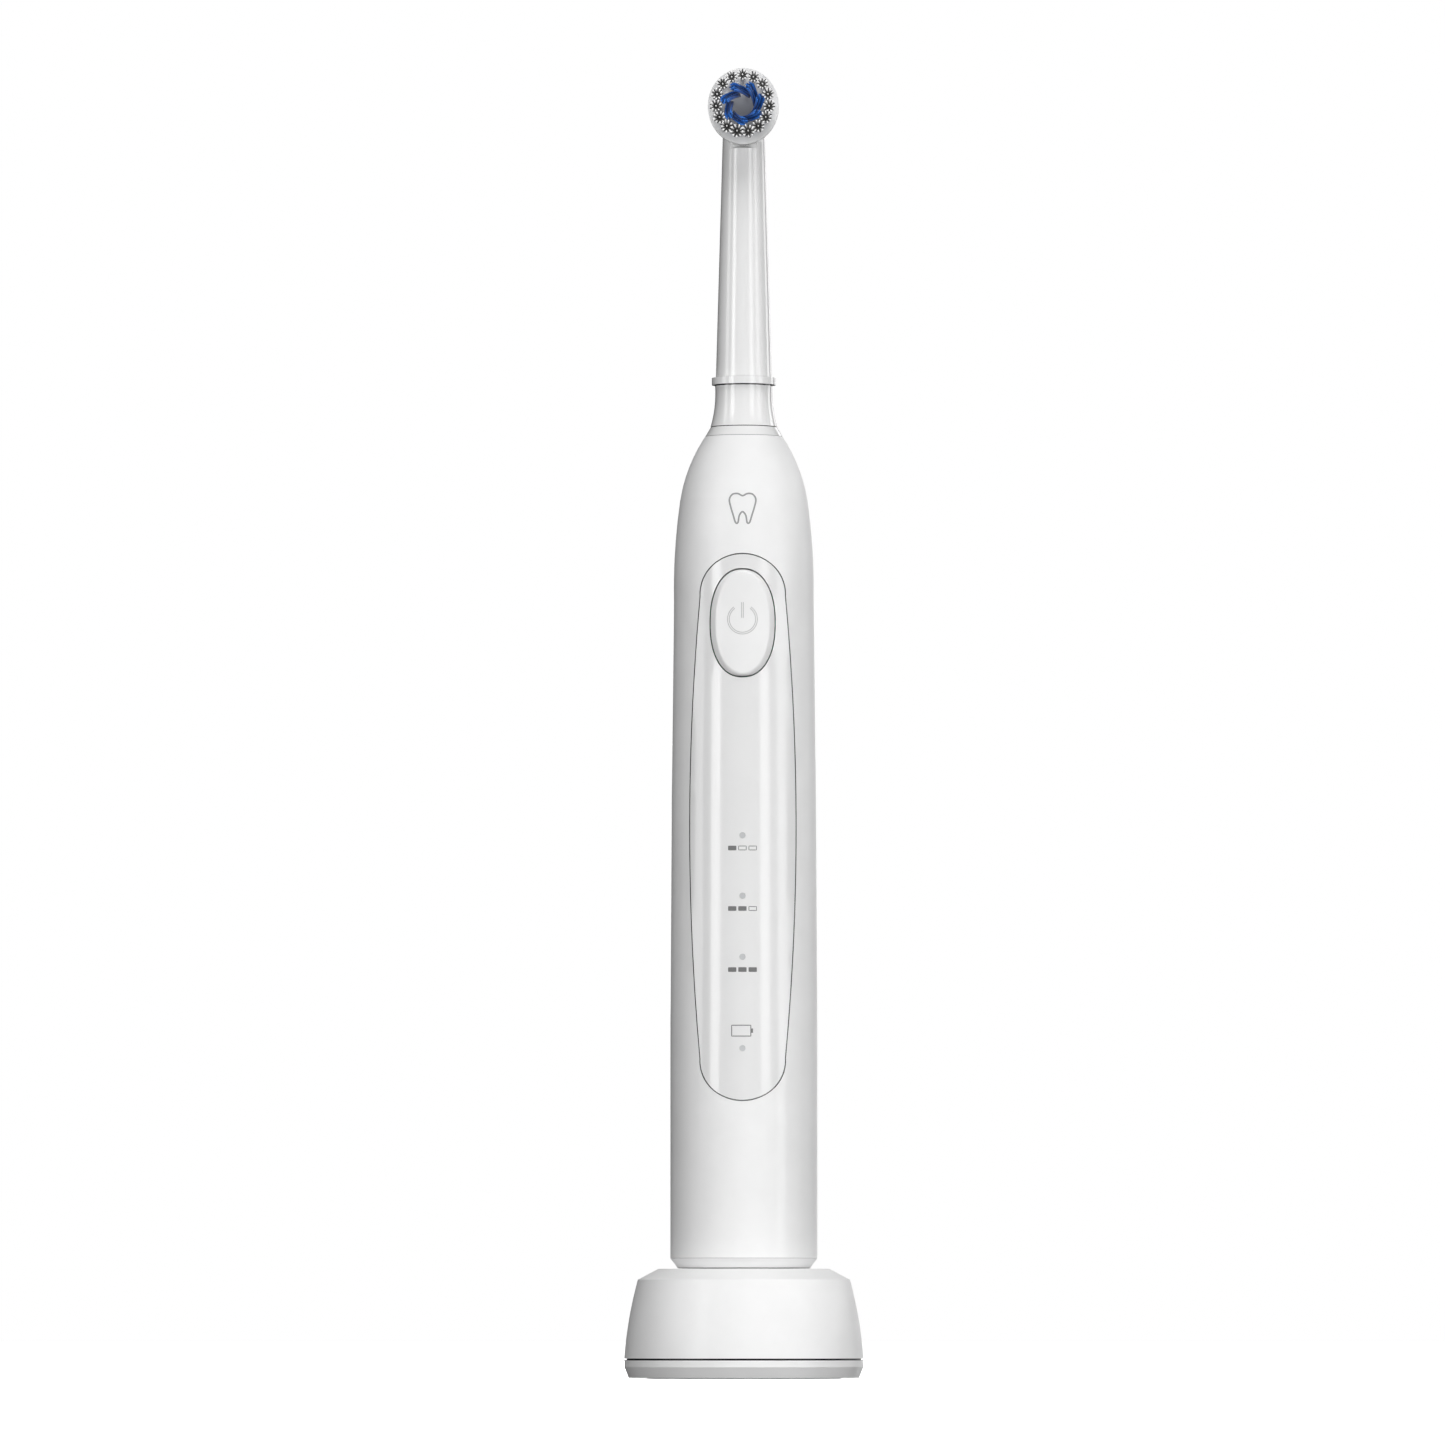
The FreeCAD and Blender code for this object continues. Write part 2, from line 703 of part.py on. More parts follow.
def make_handle_base():
    """Bottom cap: bevelled foot, a plug up inside the shell and the socket for the charging post."""
    body = turned("handle_base", [
        ("0", "charger_height + rest_gap"),
        ("handle_foot_radius", "charger_height + rest_gap"),
        ("handle_radius", "bevel_top - 0.04"),
        ("shell_bore - 0.1", "bevel_top - 0.04"),
        ("shell_bore - 0.1", "seal_groove_bottom"),
        ("shell_bore - 0.1 - seal_groove_depth", "seal_groove_bottom"),
        ("shell_bore - 0.1 - seal_groove_depth", "seal_groove_top"),
        ("shell_bore - 0.1", "seal_groove_top"),
        ("shell_bore - 0.1", "plug_top"),
        ("shell_bore - 2.2", "plug_top"),
        ("shell_bore - 2.2", "cap_floor"),
        ("0", "cap_floor"),
    ])
    half_width = "post_half_width + socket_clearance"
    half_depth = "post_half_depth + socket_clearance"
    corner = "post_corner + socket_clearance"
    cup = new_sketch(body, "socket_cup", "XY_Plane", "cap_floor - 0.5")
    draw_rounded_box(cup, f"{half_width} + socket_wall", f"{half_depth} + socket_wall",
                     f"{corner} + socket_wall")
    pad(body, cup, "charger_height + post_rise + 1.9 - cap_floor")
    hollow = new_sketch(body, "socket_hollow", "XY_Plane", "charger_height + post_rise + 0.4")
    draw_rounded_box(hollow, half_width, half_depth, corner)
    pocket(body, hollow, "post_rise + 1")


def make_base_seal():
    """O-ring between the bottom cap and the shell."""
    ring = document.addObject("Part::Torus", "base_seal")
    ring.Label = "base_seal"
    ring.setExpression("Radius1", bound("shell_bore - seal_section_radius - 0.06"))
    ring.setExpression("Radius2", bound("seal_section_radius"))
    place(ring, z="(seal_groove_bottom + seal_groove_top) / 2")
    pieces.append(ring)


def make_neck_collar():
    """Nose of the handle: visible ring, spigot down into the shell, boss up into the brush head."""
    turned("neck_collar", [
        ("bushing_radius + 0.05", "0"),
        ("collar_spigot_radius", "0"),
        ("collar_spigot_radius", "handle_top - collar_bottom"),
        ("handle_neck_radius - joint_depth", "handle_top - collar_bottom"),
        ("handle_neck_radius - joint_depth", "handle_top - collar_bottom + joint_line"),
        ("handle_neck_radius - joint_line", "handle_top - collar_bottom + joint_line"),
        ("collar_top_radius", "collar_top - collar_bottom"),
        ("collar_nose_radius", "collar_top - collar_bottom"),
        ("collar_nose_radius - 0.2", "collar_nose_top - collar_bottom"),
        ("drive_radius + 0.5", "collar_nose_top - collar_bottom"),
        ("drive_radius + 0.5", "collar_top - collar_bottom"),
        ("bushing_radius + 0.05", "collar_top - collar_bottom"),
    ], z="collar_bottom")


# ---------------------------------------------------------------- handle electrics

def make_receiver():
    """Coil around the socket that picks up the charging field."""
    spool("receiver_bobbin", "receiver_bore", "receiver_core", "receiver_radius", "receiver_length", "0.8",
          z="cap_floor + 0.1")
    tube("receiver_coil", "receiver_core + 0.02", "receiver_radius - 0.2", "receiver_length - 1.8",
         z="cap_floor + 1")


def make_battery():
    turned("battery", [
        ("0", "0"), ("battery_radius", "0"), ("battery_radius", "battery_length"),
        ("2", "battery_length"), ("2", "battery_length + 0.9"), ("0", "battery_length + 0.9"),
    ], y="battery_back", z="battery_bottom")
    body = new_body("battery_tabs")
    strip = new_sketch(body, "tab_outline", "XY_Plane", "-0.3")
    draw_box(strip, "-1.5", "-6.5", "1.5", "2.5")
    pad(body, strip, "0.2")
    upper = new_sketch(body, "upper_tab_outline", "XY_Plane", "battery_length + 1")
    draw_box(upper, "-1.5", "-6.5", "1.5", "2.5")
    pad(body, upper, "0.2")
    place(body, y="battery_back", z="battery_bottom")


def make_chassis():
    """Inner frame: a bored column that carries the cell, the motor and the circuit board."""
    body = new_body("chassis")
    column = new_sketch(body, "chassis_outline", "XY_Plane")
    front = "board_front - board_thickness - 0.05"
    edge = f"sqrt(chassis_radius^2 - ({front})^2)"
    draw_outline(column, [(edge, f"-({front})", "out", "chassis_radius"),
                          ("0", "chassis_radius", "out", "chassis_radius"),
                          (f"-{edge}", f"-({front})")])
    pad(body, column, "chassis_top - chassis_bottom")
    cell = new_sketch(body, "cell_bore", "XY_Plane", "battery_bottom + battery_length + 1.6 - chassis_bottom")
    draw_circle(cell, "0", "battery_back", "battery_radius + 0.15")
    pocket(body, cell, "battery_length + 2.2")
    motor = new_sketch(body, "motor_bore", "XY_Plane", "chassis_top - chassis_bottom")
    draw_circle(motor, "-motor_offset", "0", "motor_radius + 0.1")
    pocket(body, motor, "chassis_top - motor_bottom + 0.1")
    window = new_sketch(body, "cell_window", "XZ_Plane", f"-({front})")
    draw_box(window, "-3.2", "6", "3.2", "battery_length - 2")
    pocket(body, window, "7")
    sides = new_sketch(body, "side_window", "YZ_Plane", "chassis_radius + 1")
    draw_box(sides, "-4.5", "6", "9", "battery_length - 2")
    pocket(body, sides, "2 * chassis_radius + 2")
    place(body, z="chassis_bottom")


def draw_board_screws(sketch, radius):
    """One circle for each of the two screws that hold the board to the chassis."""
    draw_circle(sketch, "board_screw_across", "board_screw_low", radius)
    draw_circle(sketch, "-board_screw_across", "board_screw_high", radius)


def make_main_board():
    """Circuit board down the front of the chassis, with its screws, lights and controller."""
    body = new_body("main_board")
    outline = new_sketch(body, "main_board_outline", "XZ_Plane", "board_front - board_thickness")
    draw_box(outline, "-board_half_width", "board_bottom", "board_half_width", "board_top")
    pad(body, outline, "board_thickness")
    holes = new_sketch(body, "main_board_holes", "XZ_Plane", "board_front")
    draw_board_screws(holes, "0.7")
    pocket(body, holes, "board_thickness")

    screws = new_body("board_screws")
    heads = new_sketch(screws, "board_screw_heads", "XZ_Plane", "board_front + solder_gap")
    draw_board_screws(heads, "1.2")
    pad(screws, heads, "0.7")
    shanks = new_sketch(screws, "board_screw_shanks", "XZ_Plane", "board_front - board_thickness")
    draw_board_screws(shanks, "0.6")
    pad(screws, shanks, "board_thickness + 0.3")

    chips = new_body("status_leds")
    outline = new_sketch(chips, "led_chips", "XZ_Plane", "board_front + solder_gap")
    for height in LED_HEIGHTS:
        draw_box(outline, "-0.8", f"{height} - 0.4", "0.8", f"{height} + 0.4")
    pad(chips, outline, "0.7")

    controller = new_body("controller_chip")
    outline = new_sketch(controller, "controller_outline", "XZ_Plane", "board_front + solder_gap")
    draw_box(outline, "-controller_half_size", "controller_height - controller_half_size",
             "controller_half_size", "controller_height + controller_half_size")
    pad(controller, outline, "0.9")


def make_switch():
    """Dome switch on the board and the little plunger that the button pushes."""
    body = new_body("tact_switch")
    case = new_sketch(body, "switch_case", "XZ_Plane", "board_front + solder_gap")
    draw_box(case, "-2.3", "button_height - 2.3", "2.3", "button_height + 2.3")
    pad(body, case, "1.3")
    hole = new_sketch(body, "switch_hole", "XZ_Plane", "board_front + solder_gap + 1.3")
    draw_circle(hole, "0", "button_height", "0.9")
    hole_floor = "board_front + solder_gap + 0.25"
    pocket(body, hole, "1.05")
    plunger = new_body("switch_plunger")
    outline = new_sketch(plunger, "plunger_outline", "XZ_Plane", f"{hole_floor} + button_travel + 0.08")
    draw_circle(outline, "0", "button_height", "0.82")
    pad(plunger, outline, "1.1")


# ---------------------------------------------------------------- motor and gears

def make_motor():
    x = "-motor_offset"
    turned("motor_can", [
        ("motor_radius - motor_wall", "0"),
        ("motor_radius", "0"),
        ("motor_radius", "motor_length"),
        ("motor_shaft_radius + running_clearance", "motor_length"),
        ("motor_shaft_radius + running_clearance", "motor_length - 1"),
        ("motor_radius - motor_wall", "motor_length - 1"),
    ], x=x, z="motor_bottom")
    turned("motor_end_bell", [
        ("0", "0.2"),
        ("motor_radius - motor_wall - 0.05", "0.2"),
        ("motor_radius - motor_wall - 0.05", "2.2"),
        ("motor_shaft_radius + running_clearance", "2.2"),
        ("motor_shaft_radius + running_clearance", "0.8"),
        ("0", "0.8"),
    ], x=x, z="motor_bottom")
    magnets = tube("motor_magnets", "magnet_bore", "motor_radius - motor_wall - 0.05", "magnet_length",
                   x=x, z="motor_bottom + 4.5")
    gap = new_sketch(magnets, "magnet_gap", "XZ_Plane", "motor_radius")
    draw_box(gap, "-1.5", "-0.1", "1.5", "magnet_length + 0.1")
    pocket(magnets, gap, "2 * motor_radius")
    tube("motor_shaft", "0", "motor_shaft_radius", "motor_shaft_length", x=x, z="motor_bottom + 0.9")
    armature = tube("armature", "motor_shaft_radius + 0.01", "armature_radius", "armature_length", x=x,
                    z="motor_bottom + 5.5")
    slot = new_sketch(armature, "armature_slot", "XY_Plane", "armature_length")
    draw_box(slot, "armature_radius / 2", "-0.6", "armature_radius + 0.5", "0.6")
    repeat_round(armature, pocket(armature, slot, "armature_length"), 3)


def involute(angle):
    return math.tan(angle) - angle


def make_gear(label, teeth_name, thickness, bore, first_tooth, x, z):
    """Spur gear with 20 degree involute teeth; first_tooth is the angle of one tooth's middle."""
    module = number("gear_module")
    teeth = int(number(teeth_name))
    pressure = math.radians(20)
    pitch = module * teeth / 2
    base = pitch * math.cos(pressure)
    tip = pitch + 0.9 * module
    root = pitch - 1.2 * module
    half_at_pitch = number("tooth_thinning") * math.pi / (2 * teeth)
    flank = []
    for share in (0.0, 0.35, 0.7, 1.0):
        radius = max(base, root) + share * (tip - max(base, root))
        half = half_at_pitch + involute(pressure) - involute(math.acos(min(base / radius, 1)))
        flank.append((radius, half))
    points = []
    for tooth in range(teeth):
        middle = first_tooth + 2 * math.pi * tooth / teeth
        rim = [(root, middle - flank[0][1])]
        rim += [(radius, middle - half) for radius, half in flank]
        rim += [(radius, middle + half) for radius, half in reversed(flank)]
        rim += [(root, middle + flank[0][1])]
        points += [Vector(radius * math.cos(angle), radius * math.sin(angle), 0) for radius, angle in rim]
    outline = Part.Face(Part.makePolygon(points + points[:1]))
    hole = Part.Face(Part.Wire(Part.makeCircle(number(bore))))
    plain_solid(label, outline.cut(hole).extrude(Vector(0, 0, number(thickness))), x=x, z=z)


def make_gear_train():
    """Pinion on the motor shaft drives the crank gear; both axes lie on the X axis."""
    make_gear("crank_gear", "crank_teeth", "crank_gear_thickness", "gear_axle_radius + running_clearance",
              math.pi, "crank_offset", "crank_gear_bottom")
    make_gear("pinion", "pinion_teeth", "crank_gear_thickness + 0.4", "motor_shaft_radius + 0.005",
              math.pi / 12, "-motor_offset", "crank_gear_bottom - 0.2")
    gear_top = "crank_gear_bottom + crank_gear_thickness"
    tube("gear_axle", "0", "gear_axle_radius", f"{gear_top} + 0.3 - frame_bottom", x="crank_offset",
         z="frame_bottom")
    tube("crank_pin", "0", "crank_pin_radius", f"crank_pin_top - ({gear_top})",
         x="crank_offset + crank_throw", z=gear_top)


def make_drive_frame():
    """Metal frame: motor plate below, bearing plate above, joined by a wall on the far side of the gears."""
    body = new_body("drive_frame")
    flat = "board_front - board_thickness - 0.05"
    edge = f"sqrt(frame_radius^2 - ({flat})^2)"
    plate = [(edge, f"-({flat})", "out", "frame_radius"), ("0", "frame_radius", "out", "frame_radius"),
             (f"-{edge}", f"-({flat})")]
    block = new_sketch(body, "frame_outline", "XY_Plane")
    draw_outline(block, plate)
    pad(body, block, "frame_top - frame_bottom")
    room = new_sketch(body, "gear_room", "XY_Plane", "frame_top - frame_bottom - frame_plate - 0.5")
    draw_box(room, "-motor_offset - 4", "-frame_radius - 1", "frame_radius + 1", "frame_radius + 1")
    pocket(body, room, "frame_top - frame_bottom - 2 * frame_plate - 0.5")
    collar = new_sketch(body, "bearing_collar", "XY_Plane", "frame_top - frame_bottom")
    draw_circle(collar, "0", "0", "bushing_radius + 1.1")
    pad(body, collar, "frame_bearing_height")
    bore = new_sketch(body, "bearing_bore", "XY_Plane", "frame_top - frame_bottom + frame_bearing_height")
    draw_circle(bore, "0", "0", "bushing_radius + 0.02")
    pocket(body, bore, "frame_bearing_height + frame_plate + 0.6")
    shaft_hole = new_sketch(body, "motor_shaft_hole", "XY_Plane", "frame_plate")
    draw_circle(shaft_hole, "-motor_offset", "0", "motor_shaft_radius + 0.5")
    pocket(body, shaft_hole, "frame_plate")
    axle_hole = new_sketch(body, "gear_axle_hole", "XY_Plane", "frame_plate")
    draw_circle(axle_hole, "crank_offset", "0", "gear_axle_radius + 0.01")
    pocket(body, axle_hole, "frame_plate")
    place(body, z="frame_bottom")


def make_drive_shaft():
    """Round shaft with a flat at the top for the brush head, and the slotted rocker at its foot."""
    body = new_body("drive_shaft")
    section = new_sketch(body, "drive_section", "XY_Plane")
    draw_circle(section, "0", "0", "drive_radius")
    pad(body, section, "drive_top - rocker_bottom")
    flat = new_sketch(body, "drive_flat", "XY_Plane", "drive_top - rocker_bottom")
    draw_box(flat, "-drive_radius - 1", "drive_flat", "drive_radius + 1", "drive_radius + 1")
    pocket(body, flat, "drive_top - flat_bottom")
    place(body, z="rocker_bottom")

    rocker = new_body("rocker_arm")
    reach = "crank_offset + crank_throw + 1.5"
    outline = new_sketch(rocker, "rocker_outline", "XY_Plane")
    draw_outline(outline, [("-3", "-1.6"), ("0", "-3"), (reach, "-1.7"), (reach, "1.7"), ("0", "3"),
                           ("-3", "1.6")])
    pad(rocker, outline, "rocker_thickness")
    bore = new_sketch(rocker, "rocker_bore", "XY_Plane", "rocker_thickness")
    draw_circle(bore, "0", "0", "drive_radius + 0.01")
    pocket(rocker, bore, "rocker_thickness")
    slot = new_sketch(rocker, "rocker_slot", "XY_Plane", "rocker_thickness")
    draw_box(slot, "crank_offset - crank_throw - 0.7", "-crank_pin_radius - slot_clearance",
             "crank_offset + crank_throw + 0.7", "crank_pin_radius + slot_clearance")
    pocket(rocker, slot, "rocker_thickness")
    place(rocker, z="rocker_bottom")


def make_bushings():
    bore = "drive_radius + running_clearance"
    turned("lower_bushing", [
        (bore, "0"), ("bushing_radius", "0"), ("bushing_radius", "6"),
        ("bushing_radius + 0.7", "6"), ("bushing_radius + 0.7", "6.8"), (bore, "6.8"),
    ], z="frame_top - frame_plate - 0.5")
    tube("upper_bushing", bore, "bushing_radius", "5.1", z="collar_bottom + 5.6")
    turned("shaft_seal", [
        (bore, "1.2"), ("bushing_radius", "0"), ("bushing_radius", "4"), (bore, "2.8"),
    ], z="collar_bottom + 0.8")


# ---------------------------------------------------------------- brush head

def make_head_base():
    """Skirt over the handle's nose, undercut below the ring, with a spigot up into the tube."""
    turned("head_base", [
        ("collar_nose_radius + 0.15", "0"),
        ("collar_top_radius", "0", "in", "skirt_curve"),
        ("skirt_top_radius", "skirt_top - skirt_bottom - ring_undercut"),
        ("skirt_top_radius - ring_undercut_depth", "skirt_top - skirt_bottom - ring_undercut"),
        ("skirt_top_radius - ring_undercut_depth", "skirt_top - skirt_bottom"),
        ("spigot_radius", "skirt_top - skirt_bottom"),
        ("spigot_radius", "skirt_top - skirt_bottom + spigot_length"),
        ("coupler_bore", "skirt_top - skirt_bottom + spigot_length"),
        ("coupler_bore", "collar_nose_top - skirt_bottom + 0.3"),
        ("collar_nose_radius + 0.15", "collar_nose_top - skirt_bottom + 0.3"),
    ], z="skirt_bottom")
    tube("id_ring", "spigot_radius + 0.02", "ring_radius", "tube_bottom - skirt_top", z="skirt_top")


def make_head_tube():
    """Slender tube that ends in a shallow cup for the disc's hub."""
    body = turned("head_tube", [
        ("0", "tube_bottom"),
        ("tube_radius", "tube_bottom"),
        ("tube_neck_radius", "tube_neck_height"),
        ("tube_neck_radius - 0.2", "disc_height - 1"),
        ("0", "disc_height - 1"),
    ])
    cup = new_sketch(body, "cup_outline", "XZ_Plane", "-cup_back")
    draw_circle(cup, "0", "disc_height", "cup_radius")
    cup_pad = pad(body, cup, "cup_back + cup_front")
    document.recompute()
    edge_names = []
    for index, edge in enumerate(cup_pad.Shape.Edges, start=1):
        centre = edge.CenterOfMass
        if abs(centre.y - number("cup_back")) < 0.01 and edge.Length > 10:
            edge_names.append(f"Edge{index}")
    softened = body.newObject("PartDesign::Fillet", "cup_back_round")
    softened.Base = (cup_pad, edge_names)
    softened.Radius = 1.4
    body.Tip = softened
    relief = new_sketch(body, "disc_relief", "XZ_Plane", "tube_radius + 1")
    draw_box(relief, "-8", "disc_height - disc_half_height - 0.6", "8", "disc_height + 8")
    pocket(body, relief, "tube_radius + 1 - cup_front")
    bore = new_sketch(body, "tube_bore")
    draw_outline(bore, [
        ("0", "tube_bottom - 1"),
        ("spigot_radius + 0.03", "tube_bottom - 1"),
        ("spigot_radius + 0.03", "skirt_top + spigot_length + 0.1"),
        ("coupler_bore", "skirt_top + spigot_length + 0.1"),
        ("coupler_bore", "coupler_room_top"),
        ("link_bore", "coupler_room_top"),
        ("link_bore", "bush_bottom"),
        ("bush_radius + 0.05", "bush_bottom"),
        ("tube_mouth", "bush_bottom + bush_length + 0.5"),
        ("tube_mouth", "disc_height - 2"),
        ("0", "disc_height - 2"),
    ])
    turn(body, bore, "Groove")
    hollow = new_sketch(body, "hub_hollow", "XZ_Plane", "cup_front")
    draw_circle(hollow, "0", "disc_height", "hub_radius + 0.7")
    pocket(body, hollow, "cup_front + hub_back + 0.4")
    axle = new_sketch(body, "axle_hole", "XZ_Plane", "cup_front")
    draw_circle(axle, "0", "disc_height", "axle_radius + 0.01")
    pocket(body, axle, "cup_front + cup_back - 0.4")

    axle = new_body("disc_axle")
    outline = new_sketch(axle, "axle_outline", "XZ_Plane", "0.45 - cup_back")
    draw_circle(outline, "0", "disc_height", "axle_radius")
    pad(axle, outline, "cup_back - 0.45 + axle_front")
    tube("link_bush", "link_radius + running_clearance", "bush_radius", "bush_length",
         z="bush_bottom + 0.1")


def make_link():
    """Coupler that grips the drive shaft, and the cranked link up to the disc."""
    coupler = new_body("link_coupler")
    outside = new_sketch(coupler, "coupler_outline", "XY_Plane")
    draw_circle(outside, "0", "0", "coupler_bore - 0.3")
    pad(coupler, outside, "coupler_length")
    bore = new_sketch(coupler, "coupler_bore_outline", "XY_Plane", "coupler_grip")
    radius = "drive_radius + 0.08"
    flat = "drive_flat + 0.08"
    edge = f"sqrt(({radius})^2 - ({flat})^2)"
    draw_outline(bore, [(f"-{edge}", flat, "out", radius), ("0", f"-({radius})", "out", radius),
                        (edge, flat)])
    pocket(coupler, bore, "coupler_grip")
    place(coupler, z="flat_bottom + 0.4")

    body = new_body("link_shaft")
    section = new_sketch(body, "link_section", "XY_Plane", "link_foot")
    draw_circle(section, "0", "0", "link_radius")
    pad(body, section, "disc_height - hub_radius - 0.8 - link_foot")
    web = new_sketch(body, "link_web", "XY_Plane", "disc_height - hub_radius - 1.7")
    draw_box(web, "-0.6", "-link_throw - 0.45", "0.6", "0.6")
    pad(body, web, "0.9")
    pin = new_sketch(body, "link_pin", "XY_Plane", "disc_height - hub_radius - 0.9")
    draw_circle(pin, "0", "-link_throw", "0.4")
    pad(body, pin, "hub_radius + 0.9 - link_throw")
    ball = body.newObject("PartDesign::AdditiveSphere", "link_ball")
    ball.setExpression("Radius", bound("ball_radius"))
    ball.setExpression("Placement.Base.y", bound("-link_throw"))
    ball.setExpression("Placement.Base.z", bound("disc_height - link_throw"))
    body.Tip = ball


def make_brush_plate():
    """Oval disc with the slotted hub behind it, turning about the steel axle."""
    body = new_body("brush_plate")
    oval = new_sketch(body, "plate_outline", "XZ_Plane", "disc_back")
    ellipse = Part.Ellipse(Vector(0, number("disc_half_height"), 0), Vector(number("disc_half_width"), 0, 0),
                           Vector(0, 0, 0))
    oval.addGeometry(ellipse, False)
    pad(body, oval, "disc_thickness")
    hub = new_sketch(body, "hub_outline", "XZ_Plane", "-hub_back")
    draw_circle(hub, "0", "0", "hub_radius")
    pad(body, hub, "hub_back + disc_back + 0.1")
    bore = new_sketch(body, "hub_bore", "XZ_Plane", "-hub_back - 1")
    draw_circle(bore, "0", "0", "axle_radius + running_clearance")
    pocket(body, bore, "hub_back + 1 + axle_front + 0.15", along_normal=True)
    slot = new_sketch(body, "hub_slot", "XZ_Plane", "-hub_back - 1")
    draw_box(slot, "-slot_half_width", "-hub_radius - 1",
             "slot_half_width", "-link_throw + ball_radius + 0.15")
    pocket(body, slot, "hub_back + 1 + disc_back", along_normal=True)
    place(body, z="disc_height")


def make_outer_tufts():
    """Ring of round tufts that spread a little towards their tips."""
    count = int(number("outer_tuft_count"))
    across = number("outer_ring_half_width")
    along = number("outer_ring_half_height")
    foot = number("disc_back + disc_thickness")
    tufts = []
    for index in range(count):
        angle = math.radians(90) + 2 * math.pi * index / count
        place_of_foot = Vector(across * math.cos(angle), -foot, along * math.sin(angle))
        tufts.append(Part.makeCone(number("outer_tuft_base"), number("outer_tuft_tip"),
                                   number("bristle_length"), place_of_foot, Vector(0, -1, 0)))
    plain_solid("outer_tufts", Part.makeCompound(tufts), z="disc_height")


def make_inner_tufts():
    """Pinwheel of blades, wide across the disc; each leans round it from its foot to its tip."""
    count = int(number("inner_tuft_count"))
    foot = number("disc_back + disc_thickness")
    tip = foot + number("bristle_length - inner_blade_drop")
    half_width = number("inner_blade_width / 2")
    half_thickness = number("inner_blade_thickness / 2")
    lean = math.radians(number("inner_blade_lean"))
    blades = []
    for index in range(count):
        first = math.radians(number("inner_blade_start")) + 2 * math.pi * index / count
        sections = []
        for angle, ring, depth in ((first, "inner_base_ring", foot),
                                   (first + lean, "inner_tip_ring", tip)):
            outward = Vector(math.cos(angle), 0, math.sin(angle))
            along = Vector(-math.sin(angle), 0, math.cos(angle))
            centre = outward * number(ring) + Vector(0, -depth, 0)
            corners = [centre + outward * (half_width * a) + along * (half_thickness * b)
                       for a, b in ((-1, -1), (1, -1), (1, 1), (-1, 1))]
            sections.append(Part.makePolygon(corners + corners[:1]))
        blades.append(Part.makeLoft(sections, True, True))
    plain_solid("inner_tufts", Part.makeCompound(blades), z="disc_height")


# ---------------------------------------------------------------- build and write

def build():
    make_foot_pad()
    make_charger_base()
    make_charger_housing()
    make_cord_inlet()
    make_charger_screws()
    make_charger_board()
    make_charger_electronics()
    make_handle_front()
    make_power_button()
    make_handle_base()
    make_base_seal()
    make_neck_collar()
    make_receiver()
    make_battery()
    make_chassis()
    make_main_board()
    make_switch()
    make_motor()
    make_gear_train()
    make_drive_frame()
    make_drive_shaft()
    make_bushings()
    make_head_base()
    make_head_tube()
    make_link()
    make_brush_plate()
    make_outer_tufts()
    make_inner_tufts()


def check():
    """Stop if any feature failed or any piece has no sound solid."""
    for item in document.Objects:
        if "Invalid" in item.State or "Error" in item.State:
            raise RuntimeError(f"{item.Label} failed: {item.State}")
    for piece in pieces:
        if piece.Shape.isNull() or not piece.Shape.isValid() or not piece.Shape.Solids:
            raise RuntimeError(f"{piece.Label} has no sound solid")


def write():
    os.makedirs("parts", exist_ok=True)
    for piece in pieces:
        piece.Shape.exportStep(f"parts/{piece.Label}.step")


build()
document.recompute()
check()
write()
print(len(pieces), "pieces written")
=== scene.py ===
import json
import math
import random

import bmesh
import bpy
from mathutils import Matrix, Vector


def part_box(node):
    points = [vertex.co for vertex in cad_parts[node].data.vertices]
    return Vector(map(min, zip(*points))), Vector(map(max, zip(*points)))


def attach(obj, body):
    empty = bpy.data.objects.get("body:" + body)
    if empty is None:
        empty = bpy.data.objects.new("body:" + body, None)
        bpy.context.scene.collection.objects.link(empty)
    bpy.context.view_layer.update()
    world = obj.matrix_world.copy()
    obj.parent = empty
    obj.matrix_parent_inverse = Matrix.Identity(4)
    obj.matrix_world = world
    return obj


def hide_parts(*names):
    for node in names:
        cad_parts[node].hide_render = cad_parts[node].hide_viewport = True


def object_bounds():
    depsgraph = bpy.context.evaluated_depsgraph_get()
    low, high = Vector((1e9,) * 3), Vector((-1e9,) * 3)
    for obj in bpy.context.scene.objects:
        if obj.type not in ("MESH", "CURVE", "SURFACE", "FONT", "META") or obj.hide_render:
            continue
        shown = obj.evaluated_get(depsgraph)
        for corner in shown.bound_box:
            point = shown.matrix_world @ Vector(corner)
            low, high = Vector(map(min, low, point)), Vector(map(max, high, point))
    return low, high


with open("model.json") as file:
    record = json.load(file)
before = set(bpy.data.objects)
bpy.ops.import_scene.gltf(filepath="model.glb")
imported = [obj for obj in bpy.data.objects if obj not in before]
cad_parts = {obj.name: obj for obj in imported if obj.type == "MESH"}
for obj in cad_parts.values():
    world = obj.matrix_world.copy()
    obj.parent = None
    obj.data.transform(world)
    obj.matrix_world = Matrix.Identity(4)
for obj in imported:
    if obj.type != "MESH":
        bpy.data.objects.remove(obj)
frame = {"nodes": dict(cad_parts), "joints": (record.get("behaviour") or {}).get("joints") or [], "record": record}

cad_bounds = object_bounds()
MM = 0.001


def joint_place(name):
    """Where a joint stands, in the frame."""
    joint = next(joint for joint in frame["joints"] if joint["name"] == name)
    return Vector(joint["pos_m"])


# ---------------------------------------------------------------- material building blocks

def start_material(name, colour, roughness, **sockets):
    """A Principled material; sockets hold values that are the same all over the surface."""
    material = bpy.data.materials.new(name)
    material.use_nodes = True
    shader = material.node_tree.nodes["Principled BSDF"]
    shader.inputs["Base Color"].default_value = (*colour, 1)
    shader.inputs["Roughness"].default_value = roughness
    for socket, value in sockets.items():
        shader.inputs[socket.replace("_", " ")].default_value = value
    return material, shader


